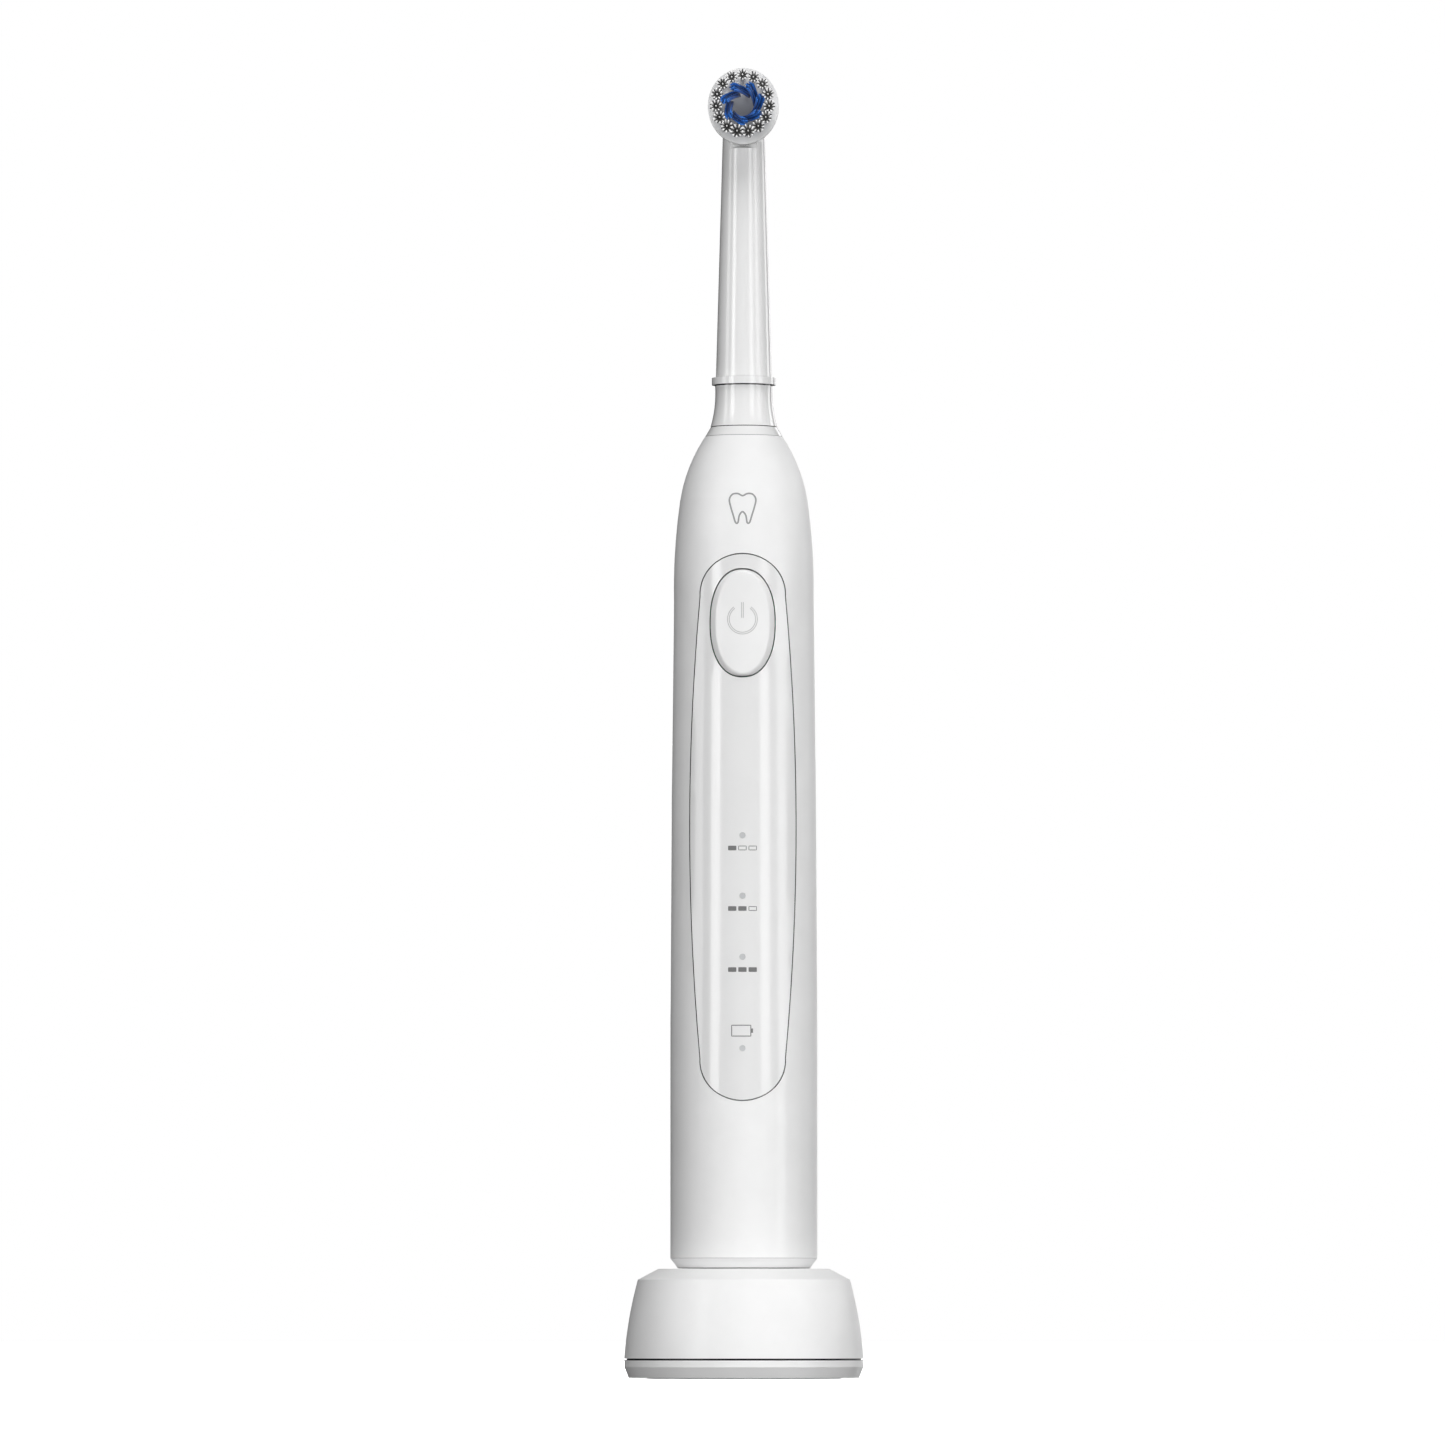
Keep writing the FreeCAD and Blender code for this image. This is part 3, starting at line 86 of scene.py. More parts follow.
def add_node(material, kind, **settings):
    """A node of one kind; each setting is the value of a socket, or else a property of the node."""
    node = material.node_tree.nodes.new(kind)
    for key, value in settings.items():
        if key in node.inputs:
            node.inputs[key].default_value = value
        else:
            setattr(node, key, value)
    return node


def join(material, output, socket):
    material.node_tree.links.new(output, socket)


def object_coordinates(material, stretch=(1, 1, 1)):
    """Object coordinates in metres, stretched to make streaks or bands."""
    coordinates = add_node(material, "ShaderNodeTexCoord")
    mapping = add_node(material, "ShaderNodeMapping", Scale=stretch)
    join(material, coordinates.outputs["Object"], mapping.inputs["Vector"])
    return mapping.outputs["Vector"]


def noise(material, size, detail=3.0, stretch=(1, 1, 1)):
    """Noise whose grains are about size metres across."""
    texture = add_node(material, "ShaderNodeTexNoise", Scale=1 / size, Detail=detail, Roughness=0.55)
    join(material, object_coordinates(material, stretch), texture.inputs["Vector"])
    return texture.outputs["Fac"]


def vary_colour(material, shader, factor, dark, light, low=0.35, high=0.65):
    """Run the base colour between two colours with a factor."""
    ramp = add_node(material, "ShaderNodeValToRGB")
    ramp.color_ramp.elements[0].position = low
    ramp.color_ramp.elements[0].color = (*dark, 1)
    ramp.color_ramp.elements[1].position = high
    ramp.color_ramp.elements[1].color = (*light, 1)
    join(material, factor, ramp.inputs["Fac"])
    join(material, ramp.outputs["Color"], shader.inputs["Base Color"])


def vary_roughness(material, shader, factor, low, high):
    """Run the roughness between two values with a factor."""
    spread = add_node(material, "ShaderNodeMapRange", **{"To Min": low, "To Max": high})
    join(material, factor, spread.inputs["Value"])
    join(material, spread.outputs["Result"], shader.inputs["Roughness"])


def add_bump(material, shader, height, depth, strength=1.0):
    """Fine relief; depth is its height in metres."""
    bump = add_node(material, "ShaderNodeBump", Strength=strength, Distance=depth)
    join(material, height, bump.inputs["Height"])
    join(material, bump.outputs["Normal"], shader.inputs["Normal"])


def shade(colour, amount):
    """A colour made darker or lighter, kept within 0 and 1."""
    return tuple(max(0.0, min(1.0, channel * amount)) for channel in colour)


def multiply_colour(material, shader, factor):
    """Scale whatever feeds the base colour by a factor."""
    source = shader.inputs["Base Color"].links[0].from_socket
    scaled = add_node(material, "ShaderNodeMix", data_type="RGBA", blend_type="MULTIPLY")
    scaled.inputs[0].default_value = 1.0
    join(material, source, scaled.inputs[6])
    join(material, factor, scaled.inputs[7])
    join(material, scaled.outputs[2], shader.inputs["Base Color"])


def paint_crevice_shade(material, shader, reach):
    """Painted shade down in narrow seams: the base colour falls off where little light gets in."""
    open_sky = add_node(material, "ShaderNodeAmbientOcclusion", Distance=reach, samples=8)
    spread = add_node(material, "ShaderNodeMapRange", **{"From Min": 0.25, "From Max": 0.6, "To Min": 0.03})
    join(material, open_sky.outputs["AO"], spread.inputs["Value"])
    multiply_colour(material, shader, spread.outputs["Result"])


# ---------------------------------------------------------------- materials

def moulded_plastic(name, colour, roughness, grain=0.25, depth=0.0006, mottle=0.03, crevice_shade=0.45,
                    **sockets):
    """Injection moulded plastic: a fine spark-eroded grain, a faint mottle, uneven gloss and painted shade in
    crevices.

    The grain, its depth and how far the painted shade reaches out of narrow seams are in mm.
    """
    material, shader = start_material(name, colour, roughness, IOR=1.49, **sockets)
    vary_colour(material, shader, noise(material, 9 * MM), shade(colour, 1 - mottle), colour)
    # Painted shade: the base colour darkens in narrow seams.
    if crevice_shade:
        paint_crevice_shade(material, shader, crevice_shade * MM)
    vary_roughness(material, shader, noise(material, 1.3 * MM, 4), roughness * 0.86, roughness * 1.14)
    add_bump(material, shader, noise(material, grain * MM, 2), depth * MM, 0.6)
    return material


def metal(name, colour, roughness):
    """Bare metal with fine turning marks that run round the upright axis."""
    material, shader = start_material(name, colour, roughness, Metallic=1.0)
    marks = noise(material, 0.9 * MM, 5, (1, 1, 14))
    vary_colour(material, shader, marks, shade(colour, 0.86), colour)
    vary_roughness(material, shader, marks, roughness * 0.7, roughness * 1.3)
    add_bump(material, shader, marks, 0.002 * MM)
    return material


def winding(name, colour):
    """Enamelled copper wire in close turns round a coil."""
    material, shader = start_material(name, colour, 0.32, Metallic=0.9, Coat_Weight=0.5, Coat_Roughness=0.2)
    turns = add_node(material, "ShaderNodeTexWave", Scale=1100.0, Distortion=0.6, Detail=1.0,
                     bands_direction="Z")
    join(material, object_coordinates(material), turns.inputs["Vector"])
    vary_colour(material, shader, turns.outputs["Fac"], shade(colour, 0.45), colour, 0.1, 0.7)
    add_bump(material, shader, turns.outputs["Fac"], 0.05 * MM)
    return material


def circuit_board(name, colour):
    """Green lacquer over copper tracks."""
    material, shader = start_material(name, colour, 0.3, Coat_Weight=0.4, Coat_Roughness=0.15)
    tracks = add_node(material, "ShaderNodeTexVoronoi", Scale=420.0, feature="DISTANCE_TO_EDGE")
    join(material, object_coordinates(material, (1, 1, 0.5)), tracks.inputs["Vector"])
    vary_colour(material, shader, tracks.outputs["Distance"], shade(colour, 1.9), colour, 0.04, 0.09)
    add_bump(material, shader, tracks.outputs["Distance"], 0.03 * MM)
    return material


def soft_rubber(name, colour):
    """Matte elastomer with a dry, faintly dusty surface."""
    material, shader = start_material(name, colour, 0.75, IOR=1.5, Sheen_Weight=0.25, Sheen_Roughness=0.5)
    vary_colour(material, shader, noise(material, 3 * MM, 4), shade(colour, 0.8), shade(colour, 1.25))
    vary_roughness(material, shader, noise(material, 0.8 * MM), 0.62, 0.85)
    add_bump(material, shader, noise(material, 0.2 * MM, 3), 0.004 * MM)
    return material


def sleeve(name, colour):
    """Glossy shrink sleeve, slightly wavy where it shrank on to the cell."""
    material, shader = start_material(name, colour, 0.28, Coat_Weight=0.5, Coat_Roughness=0.12)
    vary_colour(material, shader, noise(material, 5 * MM, 3), shade(colour, 0.85), shade(colour, 1.1))
    add_bump(material, shader, noise(material, 2 * MM, 2, (1, 1, 0.2)), 0.02 * MM)
    return material


def sintered(name, colour):
    """Pressed powder: ferrite, magnets and oil-filled bronze."""
    material, shader = start_material(name, colour, 0.5, Metallic=0.6)
    vary_colour(material, shader, noise(material, 0.5 * MM, 5), shade(colour, 0.7), shade(colour, 1.2))
    vary_roughness(material, shader, noise(material, 0.4 * MM), 0.4, 0.65)
    add_bump(material, shader, noise(material, 0.15 * MM, 4), 0.006 * MM)
    return material


def milky_plastic(name, colour, painted_glow=0.0):
    """Natural plastic that light soaks into; an emission paints in the light that reaches its face from behind."""
    roughness = 0.3
    material, shader = start_material(name, colour, roughness, IOR=1.46, Subsurface_Weight=0.15,
                                      Subsurface_Scale=0.6 * MM, Subsurface_Radius=(1, 1, 1))
    # Painted light: a white emission on the surface.
    shader.inputs["Emission Color"].default_value = (1, 1, 1, 1)
    shader.inputs["Emission Strength"].default_value = painted_glow
    vary_colour(material, shader, noise(material, 2.5 * MM), shade(colour, 0.93), colour)
    vary_roughness(material, shader, noise(material, 0.7 * MM), roughness * 0.8, roughness * 1.2)
    add_bump(material, shader, noise(material, 0.3 * MM), 0.001 * MM)
    return material


def brush_plate_plastic(name, colour):
    """Milky plastic, white at the disc's upper rim and grey in the shade of the bristles.

    The shade's middle lies below the hub, and its ramp takes the place of the milky plastic's mottle.
    """
    # The plate's emission is painted light that brightens it.
    material = milky_plastic(name, colour, painted_glow=0.06)
    shader = material.node_tree.nodes["Principled BSDF"]
    shade_z = joint_place("disc_swing").z - 1.3 * MM
    shaded_grey = (0.4, 0.41, 0.42)
    rim_white = (0.97, 0.97, 0.97)
    coordinates = add_node(material, "ShaderNodeTexCoord")
    from_shade = add_node(material, "ShaderNodeMapping", Location=(0, 0, -shade_z), Scale=(1, 0, 1))
    distance = add_node(material, "ShaderNodeVectorMath", operation="LENGTH")
    spread = add_node(material, "ShaderNodeMapRange", **{"From Min": 2.6 * MM, "From Max": 7.2 * MM})
    join(material, coordinates.outputs["Object"], from_shade.inputs["Vector"])
    join(material, from_shade.outputs["Vector"], distance.inputs[0])
    join(material, distance.outputs["Value"], spread.inputs["Value"])
    vary_colour(material, shader, spread.outputs["Result"], shaded_grey, rim_white, 0.0, 0.85)
    return material


def bottom_plate_plastic(name, colour):
    """The charger's white, with black painted shade from just under the top of its rim up, for the joint there.

    The housing's lowest points, the ends of its screw bosses, are 0.05 mm above the rim's top.
    """
    material = moulded_plastic(name, colour, 0.42)
    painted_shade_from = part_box("charger_housing")[0].z - 0.08 * MM
    fade = 0.06 * MM
    coordinates = add_node(material, "ShaderNodeTexCoord")
    parts = add_node(material, "ShaderNodeSeparateXYZ")
    # Painted shade: the base colour fades to black at the height of the joint.
    painted_joint_shade = add_node(material, "ShaderNodeMapRange", **{
        "From Min": painted_shade_from - fade, "From Max": painted_shade_from, "To Min": 1.0, "To Max": 0.01})
    join(material, coordinates.outputs["Object"], parts.inputs["Vector"])
    join(material, parts.outputs["Z"], painted_joint_shade.inputs["Value"])
    multiply_colour(material, material.node_tree.nodes["Principled BSDF"], painted_joint_shade.outputs["Result"])
    return material


def slot_materials():
    """One material for each of the record's slots, from its own colour, and one for the bottom plate with painted
    joint shade.
    """
    colours = {row["slot"]: tuple(row["base_color"][:3]) for row in frame["record"]["materials"]}
    made = {}
    for slot in ("charger_white", "inlet_white", "handle_white"):
        made[slot] = moulded_plastic(slot, colours[slot], 0.42)
    made["button_gloss"] = moulded_plastic("button_gloss", colours["button_gloss"], 0.36)
    # The last number of each is how far painted shade reaches out of narrow seams, in mm.
    for slot, crevice_shade in (("panel_gloss", 0.45), ("collar_gloss", 0.45), ("head_gloss", 0.9)):
        made[slot] = moulded_plastic(slot, colours[slot], 0.2, grain=3.0, depth=0.004, mottle=0.015,
                                     crevice_shade=crevice_shade, Coat_Weight=0.6, Coat_Roughness=0.05)
    for slot in ("component_black", "bobbin_black", "chassis_grey", "gear_nylon"):
        made[slot] = moulded_plastic(slot, colours[slot], 0.45, grain=0.4, depth=0.004)
    for slot in ("screw_steel", "nickel", "motor_steel", "shaft_steel", "frame_metal"):
        made[slot] = metal(slot, colours[slot], 0.3)
    for slot in ("rubber", "seal_grey"):
        made[slot] = soft_rubber(slot, colours[slot])
    for slot in ("ferrite", "bronze"):
        made[slot] = sintered(slot, colours[slot])
    made["copper"] = winding("copper", colours["copper"])
    made["circuit_board"] = circuit_board("circuit_board", colours["circuit_board"])
    made["battery_sleeve"] = sleeve("battery_sleeve", colours["battery_sleeve"])
    for slot in ("light_pipe", "led_chip", "bristle_white", "bristle_blue"):
        made[slot] = milky_plastic(slot, colours[slot])
    made["plate_milky"] = brush_plate_plastic("plate_milky", colours["plate_milky"])
    made["bottom_plate_joint_shade"] = bottom_plate_plastic("bottom_plate_joint_shade", colours["charger_white"])
    return made


materials = slot_materials()
for row in frame["record"]["subparts"]:
    node = frame["nodes"][row["node"]]
    node.data.materials.clear()
    node.data.materials.append(materials[row["material_slot"]])
# The charger base takes the material with the painted joint shade.
frame["nodes"]["charger_base"].data.materials[0] = materials["bottom_plate_joint_shade"]


# ---------------------------------------------------------------- places taken from the frame

def front_surface(objects, x, z):
    """The y of the first of some objects that is met from the front at x, z."""
    start = Vector((x, cad_bounds[0].y - 10 * MM, z))
    hits = [thing.ray_cast(start, Vector((0, 1, 0))) for thing in objects]
    return min(place.y for found, place, _, _ in hits if found)


def led_heights():
    """Heights of the four lights, lowest first, from the middles of the light pipes' own islands."""
    least_gap = 3 * MM
    mesh = frame["nodes"]["led_light_pipes"].data
    heights = sorted(vertex.co.z for vertex in mesh.vertices)
    groups = [[heights[0]]]
    for height in heights[1:]:
        if height - groups[-1][-1] > least_gap:
            groups.append([])
        groups[-1].append(height)
    return [(group[0] + group[-1]) / 2 for group in groups]


# ---------------------------------------------------------------- mesh building blocks

def add_piece(name, points, faces, material, body, smooth=True, shades=None):
    """A mesh piece that rides on a CAD body; shades holds one brightness for each point."""
    mesh = bpy.data.meshes.new(name)
    mesh.from_pydata(points, [], faces)
    mesh.update()
    if shades:
        mesh.attributes.new("strand_shade", "FLOAT", "POINT").data.foreach_set("value", shades)
    mesh.polygons.foreach_set("use_smooth", [smooth] * len(mesh.polygons))
    mesh.materials.append(material)
    piece = bpy.data.objects.new(name, mesh)
    bpy.context.scene.collection.objects.link(piece)
    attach(piece, body)
    return piece


def join_rings(faces, first, count, rings, close_ends=True):
    """Faces between rings of count points each; the rings follow one another from point number first."""
    for ring in range(rings - 1):
        for side in range(count):
            a = first + ring * count + side
            b = first + ring * count + (side + 1) % count
            faces.append((a, b, b + count, a + count))
    if close_ends:
        faces.append(tuple(range(first + count - 1, first - 1, -1)))
        faces.append(tuple(range(first + (rings - 1) * count, first + rings * count)))


def add_strand(points, faces, path, radius):
    """One bristle filament along a path, with a rounded tip."""
    sides = 6
    first = len(points)
    tip = path[-1]
    ahead = (tip - path[-2]).normalized()
    spine = [(place, radius) for place in path]
    for reach, width in ((0.5, 0.85), (0.9, 0.4)):
        spine.append((tip + ahead * radius * reach, radius * width))
    for index, (place, size) in enumerate(spine):
        before = spine[max(index - 1, 0)][0]
        after = spine[min(index + 1, len(spine) - 1)][0]
        along = (after - before).normalized()
        across = along.cross(Vector((0, 0, 1))).normalized()
        up = along.cross(across)
        for side in range(sides):
            angle = 2 * math.pi * side / sides
            points.append(place + (across * math.cos(angle) + up * math.sin(angle)) * size)
    join_rings(faces, first, sides, len(spine))


def add_line(points, faces, path, width, surface, closed=False, thickness=0.03 * MM):
    """A printed line: a thin strip along a path of (x, z) places that lies on a surface."""
    first = len(points)
    count = len(path)
    for index, (x, z) in enumerate(path):
        before = path[index - 1] if index or closed else path[0]
        after = path[(index + 1) % count] if index < count - 1 or closed else path[-1]
        run = Vector((after[0] - before[0], after[1] - before[1])).normalized()
        side = Vector((run.y, -run.x)) * width / 2
        for sign, lift in ((-1, -1), (1, -1), (1, 1), (-1, 1)):
            px = x + side.x * sign
            pz = z + side.y * sign
            points.append(Vector((px, surface(px, pz) - lift * thickness / 2, pz)))
    join_rings(faces, first, 4, count, close_ends=not closed)
    if closed:
        last = first + (count - 1) * 4
        for side in range(4):
            after = (side + 1) % 4
            faces.append((last + side, last + after, first + after, first + side))


def arc_path(centre, radius, start, end, steps):
    """Places round part of a circle; angles in degrees, counter-clockwise from +X."""
    turns = [math.radians(start + (end - start) * step / steps) for step in range(steps + 1)]
    return [(centre[0] + radius * math.cos(turn), centre[1] + radius * math.sin(turn)) for turn in turns]


def straight_path(start, end):
    """Places along a straight line, close enough together to follow a curved surface."""
    step = 0.3 * MM
    length = math.hypot(end[0] - start[0], end[1] - start[1])
    count = max(2, round(length / step))
    return [(start[0] + (end[0] - start[0]) * n / count, start[1] + (end[1] - start[1]) * n / count)
            for n in range(count + 1)]


def corner_path(corners):
    """Places round a closed outline with straight edges, each corner once."""
    path = []
    for index, corner in enumerate(corners):
        path += straight_path(corner, corners[(index + 1) % len(corners)])[:-1]
    return path


def smooth_loop(corners):
    """A closed Catmull-Rom curve through the corners."""
    steps = 6
    count = len(corners)
    curve = []
    for index in range(count):
        a, b, c, d = (corners[(index + offset) % count] for offset in (-1, 0, 1, 2))
        for step in range(steps):
            t = step / steps
            curve.append(0.5 * (2 * b + (c - a) * t + (2 * a - 5 * b + 4 * c - d) * t ** 2
                                + (3 * b - a - 3 * c + d) * t ** 3))
    return curve


# ---------------------------------------------------------------- bristles

def bristle_material(name, colours, heights, ends, painted_glow):
    """Nylon strands: painted shade darkens their feet, their ends are bright, and they emit painted light.

    colours and heights are those of root, middle and tip, the heights as shares of the way from ends[0]
    to ends[1] in y.
    """
    root, middle, tip = colours
    material, shader = start_material(name, tip, 0.35, IOR=1.53, Coat_Weight=0.2)
    coordinates = add_node(material, "ShaderNodeTexCoord")
    parts = add_node(material, "ShaderNodeSeparateXYZ")
    join(material, coordinates.outputs["Object"], parts.inputs["Vector"])
    height = add_node(material, "ShaderNodeMapRange", **{"From Min": ends[0], "From Max": ends[1]})
    join(material, parts.outputs["Y"], height.inputs["Value"])
    # The painted shade's edge up the strands wavers with noise.
    uneven_shade_height = add_node(material, "ShaderNodeMath", operation="MULTIPLY_ADD")
    unevenness = 0.22
    uneven_shade_height.inputs[1].default_value = unevenness
    join(material, noise(material, 0.3 * MM, 2, (1, 0.05, 1)), uneven_shade_height.inputs[0])
    join(material, height.outputs["Result"], uneven_shade_height.inputs[2])
    # Painted shade: the colour runs from dark at the roots to bright at the tips.
    vary_colour(material, shader, uneven_shade_height.outputs["Value"], root, tip, heights[0], heights[2])
    ramp = shader.inputs["Base Color"].links[0].from_node.color_ramp
    ramp.elements.new(heights[1]).color = (*middle, 1)
    vary_roughness(material, shader, noise(material, 0.2 * MM), 0.25, 0.5)
    own_shade = add_node(material, "ShaderNodeAttribute", attribute_name="strand_shade")
    multiply_colour(material, shader, own_shade.outputs["Fac"])
    # Painted light: the strands emit their own colour.
    join(material, shader.inputs["Base Color"].links[0].from_socket, shader.inputs["Emission Color"])
    shader.inputs["Emission Strength"].default_value = painted_glow
    return material


def make_outer_tufts():
    """Ring of round tufts whose strands spread like a burst towards their ends.

    A tuft has rows of strands, one inside another: how many, how far out and how long as shares of the
    widest and the longest, and how bright. The dark rows are painted shade between the bright strands.
    """
    low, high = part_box("outer_tufts")
    hub = joint_place("disc_swing")
    count = 15
    strand = 0.14 * MM
    foot_spread = 0.3 * MM
    tip_gap = 0.13 * MM
    tuft_radius = 0.84 * MM
    steps = 6
    ring_x = high.x - tuft_radius
    ring_z = high.z - hub.z - tuft_radius
    # Near-black strands are painted shade in the gaps between the bright ones.
    dark = 0.05
    rows = ((1, 0.0, 0.97, 0.8), (9, 0.95, 1.0, 1.0), (9, 1.0, 0.98, dark), (9, 0.5, 0.93, dark),
            (6, 0.4, 0.62, dark))
    chance = random.Random(15)
    points = []
    faces = []
    shades = []
    for tuft in range(count):
        around = math.radians(90) + 2 * math.pi * tuft / count
        middle = Vector((ring_x * math.cos(around), 0, hub.z + ring_z * math.sin(around)))
        tip_spread = (1.04 - 0.12 * math.sin(around)) * MM
        twist = chance.uniform(0, 2 * math.pi)
        for number, share, height, brightness in rows:
            for place in range(number):
                between = 0.5 if brightness == dark else 0.0
                turn = twist + 2 * math.pi * (place + between) / number + chance.uniform(-0.1, 0.1)
                away = Vector((math.cos(turn), 0, math.sin(turn)))
                shorter = (chance.uniform(0, 0.25) + share * 0.3) * MM
                reach = (high.y - low.y) * height - tip_gap - shorter
                spread = tip_spread * share * chance.uniform(0.88, 1.06)
                path = []
                for step in range(steps + 1):
                    t = step / steps
                    out = foot_spread * share * (1 - t ** 3) + spread * t ** 3
                    path.append(middle + away * out + Vector((0, high.y - reach * t, 0)))
                add_strand(points, faces, path, strand)
                # Each strand's brightness: painted shade for the dark rows, a random tone for all.
                shades += [brightness * chance.uniform(0.85, 1.0)] * (len(points) - len(shades))
    # Painted shade at the roots, painted light as emission at the ends.
    greys = ((0.004, 0.004, 0.004), (0.3, 0.3, 0.3), (0.99, 0.99, 0.99))
    material = bristle_material("white_bristles", greys, (0.71, 0.85, 0.93), (high.y, low.y), 0.3)
    piece = add_piece("outer_bristles", points, faces, material, "brush_disc", shades=shades)
    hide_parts("outer_tufts")


def make_inner_tufts():
    """Pinwheel of leaning tufts; their strands lie round the disc and fan out at their ends.

    Each tuft is a block of strands: rows one behind another round the disc, columns across the radius.
    Every second column is darker, as painted shade between strands. The fans and the end's curl are angles
    round the disc, in radians.
    """
    low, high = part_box("inner_tufts")
    hub = joint_place("disc_swing")
    count = 7
    strand = 0.135 * MM
    foot_ring = 2.5 * MM
    tip_ring = 3.43 * MM
    foot_half_width = 0.55 * MM
    tip_half_width = 0.66 * MM
    bow = 0.18 * MM
    tip_gap = 0.13 * MM
    first_angle = math.radians(62)
    lean = math.radians(56)
    foot_fan = 0.12
    tip_fan = 0.1
    tip_curl = 0.12
    steps = 5
    chance = random.Random(7)
    points = []
    faces = []
    shades = []
    for tuft in range(count):
        start = first_angle + 2 * math.pi * tuft / count
        for row in range(4):
            for column in range(5):
                across = (column - 2) / 2
                behind = (row - 1.5) / 1.5
                foot_angle = start + behind * foot_fan
                tip_angle = start + lean + behind * tip_fan + (tip_curl - tip_curl * across ** 2)
                foot_radius = foot_ring + across * foot_half_width
                tip_radius = tip_ring + across * tip_half_width + chance.uniform(-0.08, 0.08) * MM
                drop = chance.uniform(0, 0.35) * MM + (0.3 * MM if row == 0 else 0)
                foot = Vector((foot_radius * math.cos(foot_angle), high.y,
                               hub.z + foot_radius * math.sin(foot_angle)))
                tip = Vector((tip_radius * math.cos(tip_angle), low.y + tip_gap + drop,
                              hub.z + tip_radius * math.sin(tip_angle)))
                path = []
                for step in range(steps + 1):
                    t = step / steps
                    place = foot.lerp(tip, t)
                    outward = Vector((place.x, 0, place.z - hub.z)).normalized()
                    path.append(place + outward * bow * math.sin(math.pi * t))
                add_strand(points, faces, path, strand)
                # Every second column is painted shade.
                shades += [0.4 if column % 2 else 1.0] * (len(points) - len(shades))
    # Painted shade at the roots, painted light as emission at the ends.
    blues = ((0.0, 0.012, 0.09), (0.02, 0.115, 0.46), (0.045, 0.2, 0.66))
    material = bristle_material("blue_bristles", blues, (0.05, 0.42, 0.9), (high.y, low.y), 0.1)
    piece = add_piece("inner_bristles", points, faces, material, "brush_disc", shades=shades)
    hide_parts("inner_tufts")


# ---------------------------------------------------------------- power button and printed marks

def make_power_button():
    """Oval cap that follows the handle's round front, with a slope round its edge, and its pusher.

    The cap is made of rings, as shares of its outline, a little squarer than an ellipse. The slope is
    widest at the sides.
    """
    low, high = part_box("power_button")
    cad_button = frame["nodes"]["power_button"]
    middle_z = (low.z + high.z) / 2
    half_x = high.x
    half_z = (high.z - low.z) / 2
    end_margin = 0.8 * MM
    slope_drop = 0.68 * MM
    side_band = 0.13
    end_band = 0.03
    side_depth = 1.0 * MM
    count = 96
    power = 2 / 2.25
    rings = [0.02, 0.2, 0.4, 0.6, 0.72, 0.8, 0.835, 0.845, 0.87, 0.9, 0.93, 0.96, 0.98, 1.0]

    def crown_radius(z):
        """The CAD cap's own radius about the handle's axis at one height, read clear of its two ends."""
        held = min(max(z, low.z + end_margin), high.z - end_margin)
        return -front_surface([cad_button], 0, held)

    points = []
    faces = []
    for share in rings:
        for step in range(count):
            turn = 2 * math.pi * step / count
            side = math.copysign(abs(math.cos(turn)) ** power, math.cos(turn))
            rise = math.copysign(abs(math.sin(turn)) ** power, math.sin(turn))
            x = half_x * share * side
            z = middle_z + half_z * share * rise
            band = side_band * abs(math.cos(turn)) + end_band
            slope = min(1.0, max(0.0, (share - (1 - band)) / band))
            points.append(Vector((x, slope_drop * slope - math.sqrt(crown_radius(z) ** 2 - x ** 2), z)))
    rim = points[-count:]
    for depth in (side_depth / 10, side_depth):
        points += [place + Vector((0, depth, 0)) for place in rim]
    join_rings(faces, 0, count, len(rings) + 2)
    first = len(points)
    pusher_sides = 24
    pusher_radius = 1.2 * MM
    pusher_length = 1.4 * MM
    pusher_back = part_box("switch_plunger")[0].y - 0.02 * MM
    for y in (pusher_back - pusher_length, pusher_back):
        for step in range(pusher_sides):
            turn = 2 * math.pi * step / pusher_sides
            x = pusher_radius * math.cos(turn)
            z = middle_z + pusher_radius * math.sin(turn)
            points.append(Vector((x, y, z)))
    join_rings(faces, first, pusher_sides, 2)
    piece = add_piece("button_cap", points, faces, materials["button_gloss"], "power_button")
    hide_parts("power_button")
    return piece


def make_power_icon(button):
    """Power symbol on the button: an open ring and an upright bar, each a pale line on a wider dark one."""
    low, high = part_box("power_button")
    centre_z = (low.z + high.z) / 2 + 0.65 * MM
    ring_radius = 2.6 * MM
    half_gap = 35
    bar_foot = 0.25 * MM
    bar_top = 3.15 * MM
    bpy.context.view_layer.update()

    def surface(x, z):
        return front_surface([button], x, z)

    ring = arc_path((0.0, centre_z), ring_radius, 90 + half_gap, 450 - half_gap, 72)
    bar = straight_path((0.0, centre_z + bar_foot), (0.0, centre_z + bar_top))
    # The wider dark line is painted shade round the symbol's edge.
    lines = (("icon_edge_shade", 0.44, 0.03, 0.45), ("icon_face", 0.24, 0.06, 0.86))
    for name, width, thickness, tone in lines:
        points = []
        faces = []
        for path in (ring, bar):
            add_line(points, faces, path, width * MM, surface, thickness=thickness * MM)
        ink = moulded_plastic(name, (tone, tone, tone), 0.4, grain=0.5, depth=0.001, crevice_shade=0)
        add_piece(name, points, faces, ink, "power_button", smooth=False)


def panel_front(x, z):
    """The y of the panel's front, or of the shell's where there is no panel."""
    return front_surface([frame["nodes"]["control_panel"], frame["nodes"]["handle_shell"]], x, z)


def printing_ink(name, tone):
    """Flat grey ink."""
    return moulded_plastic(name, (tone, tone, tone), 0.5, grain=0.3, depth=0.001, crevice_shade=0)


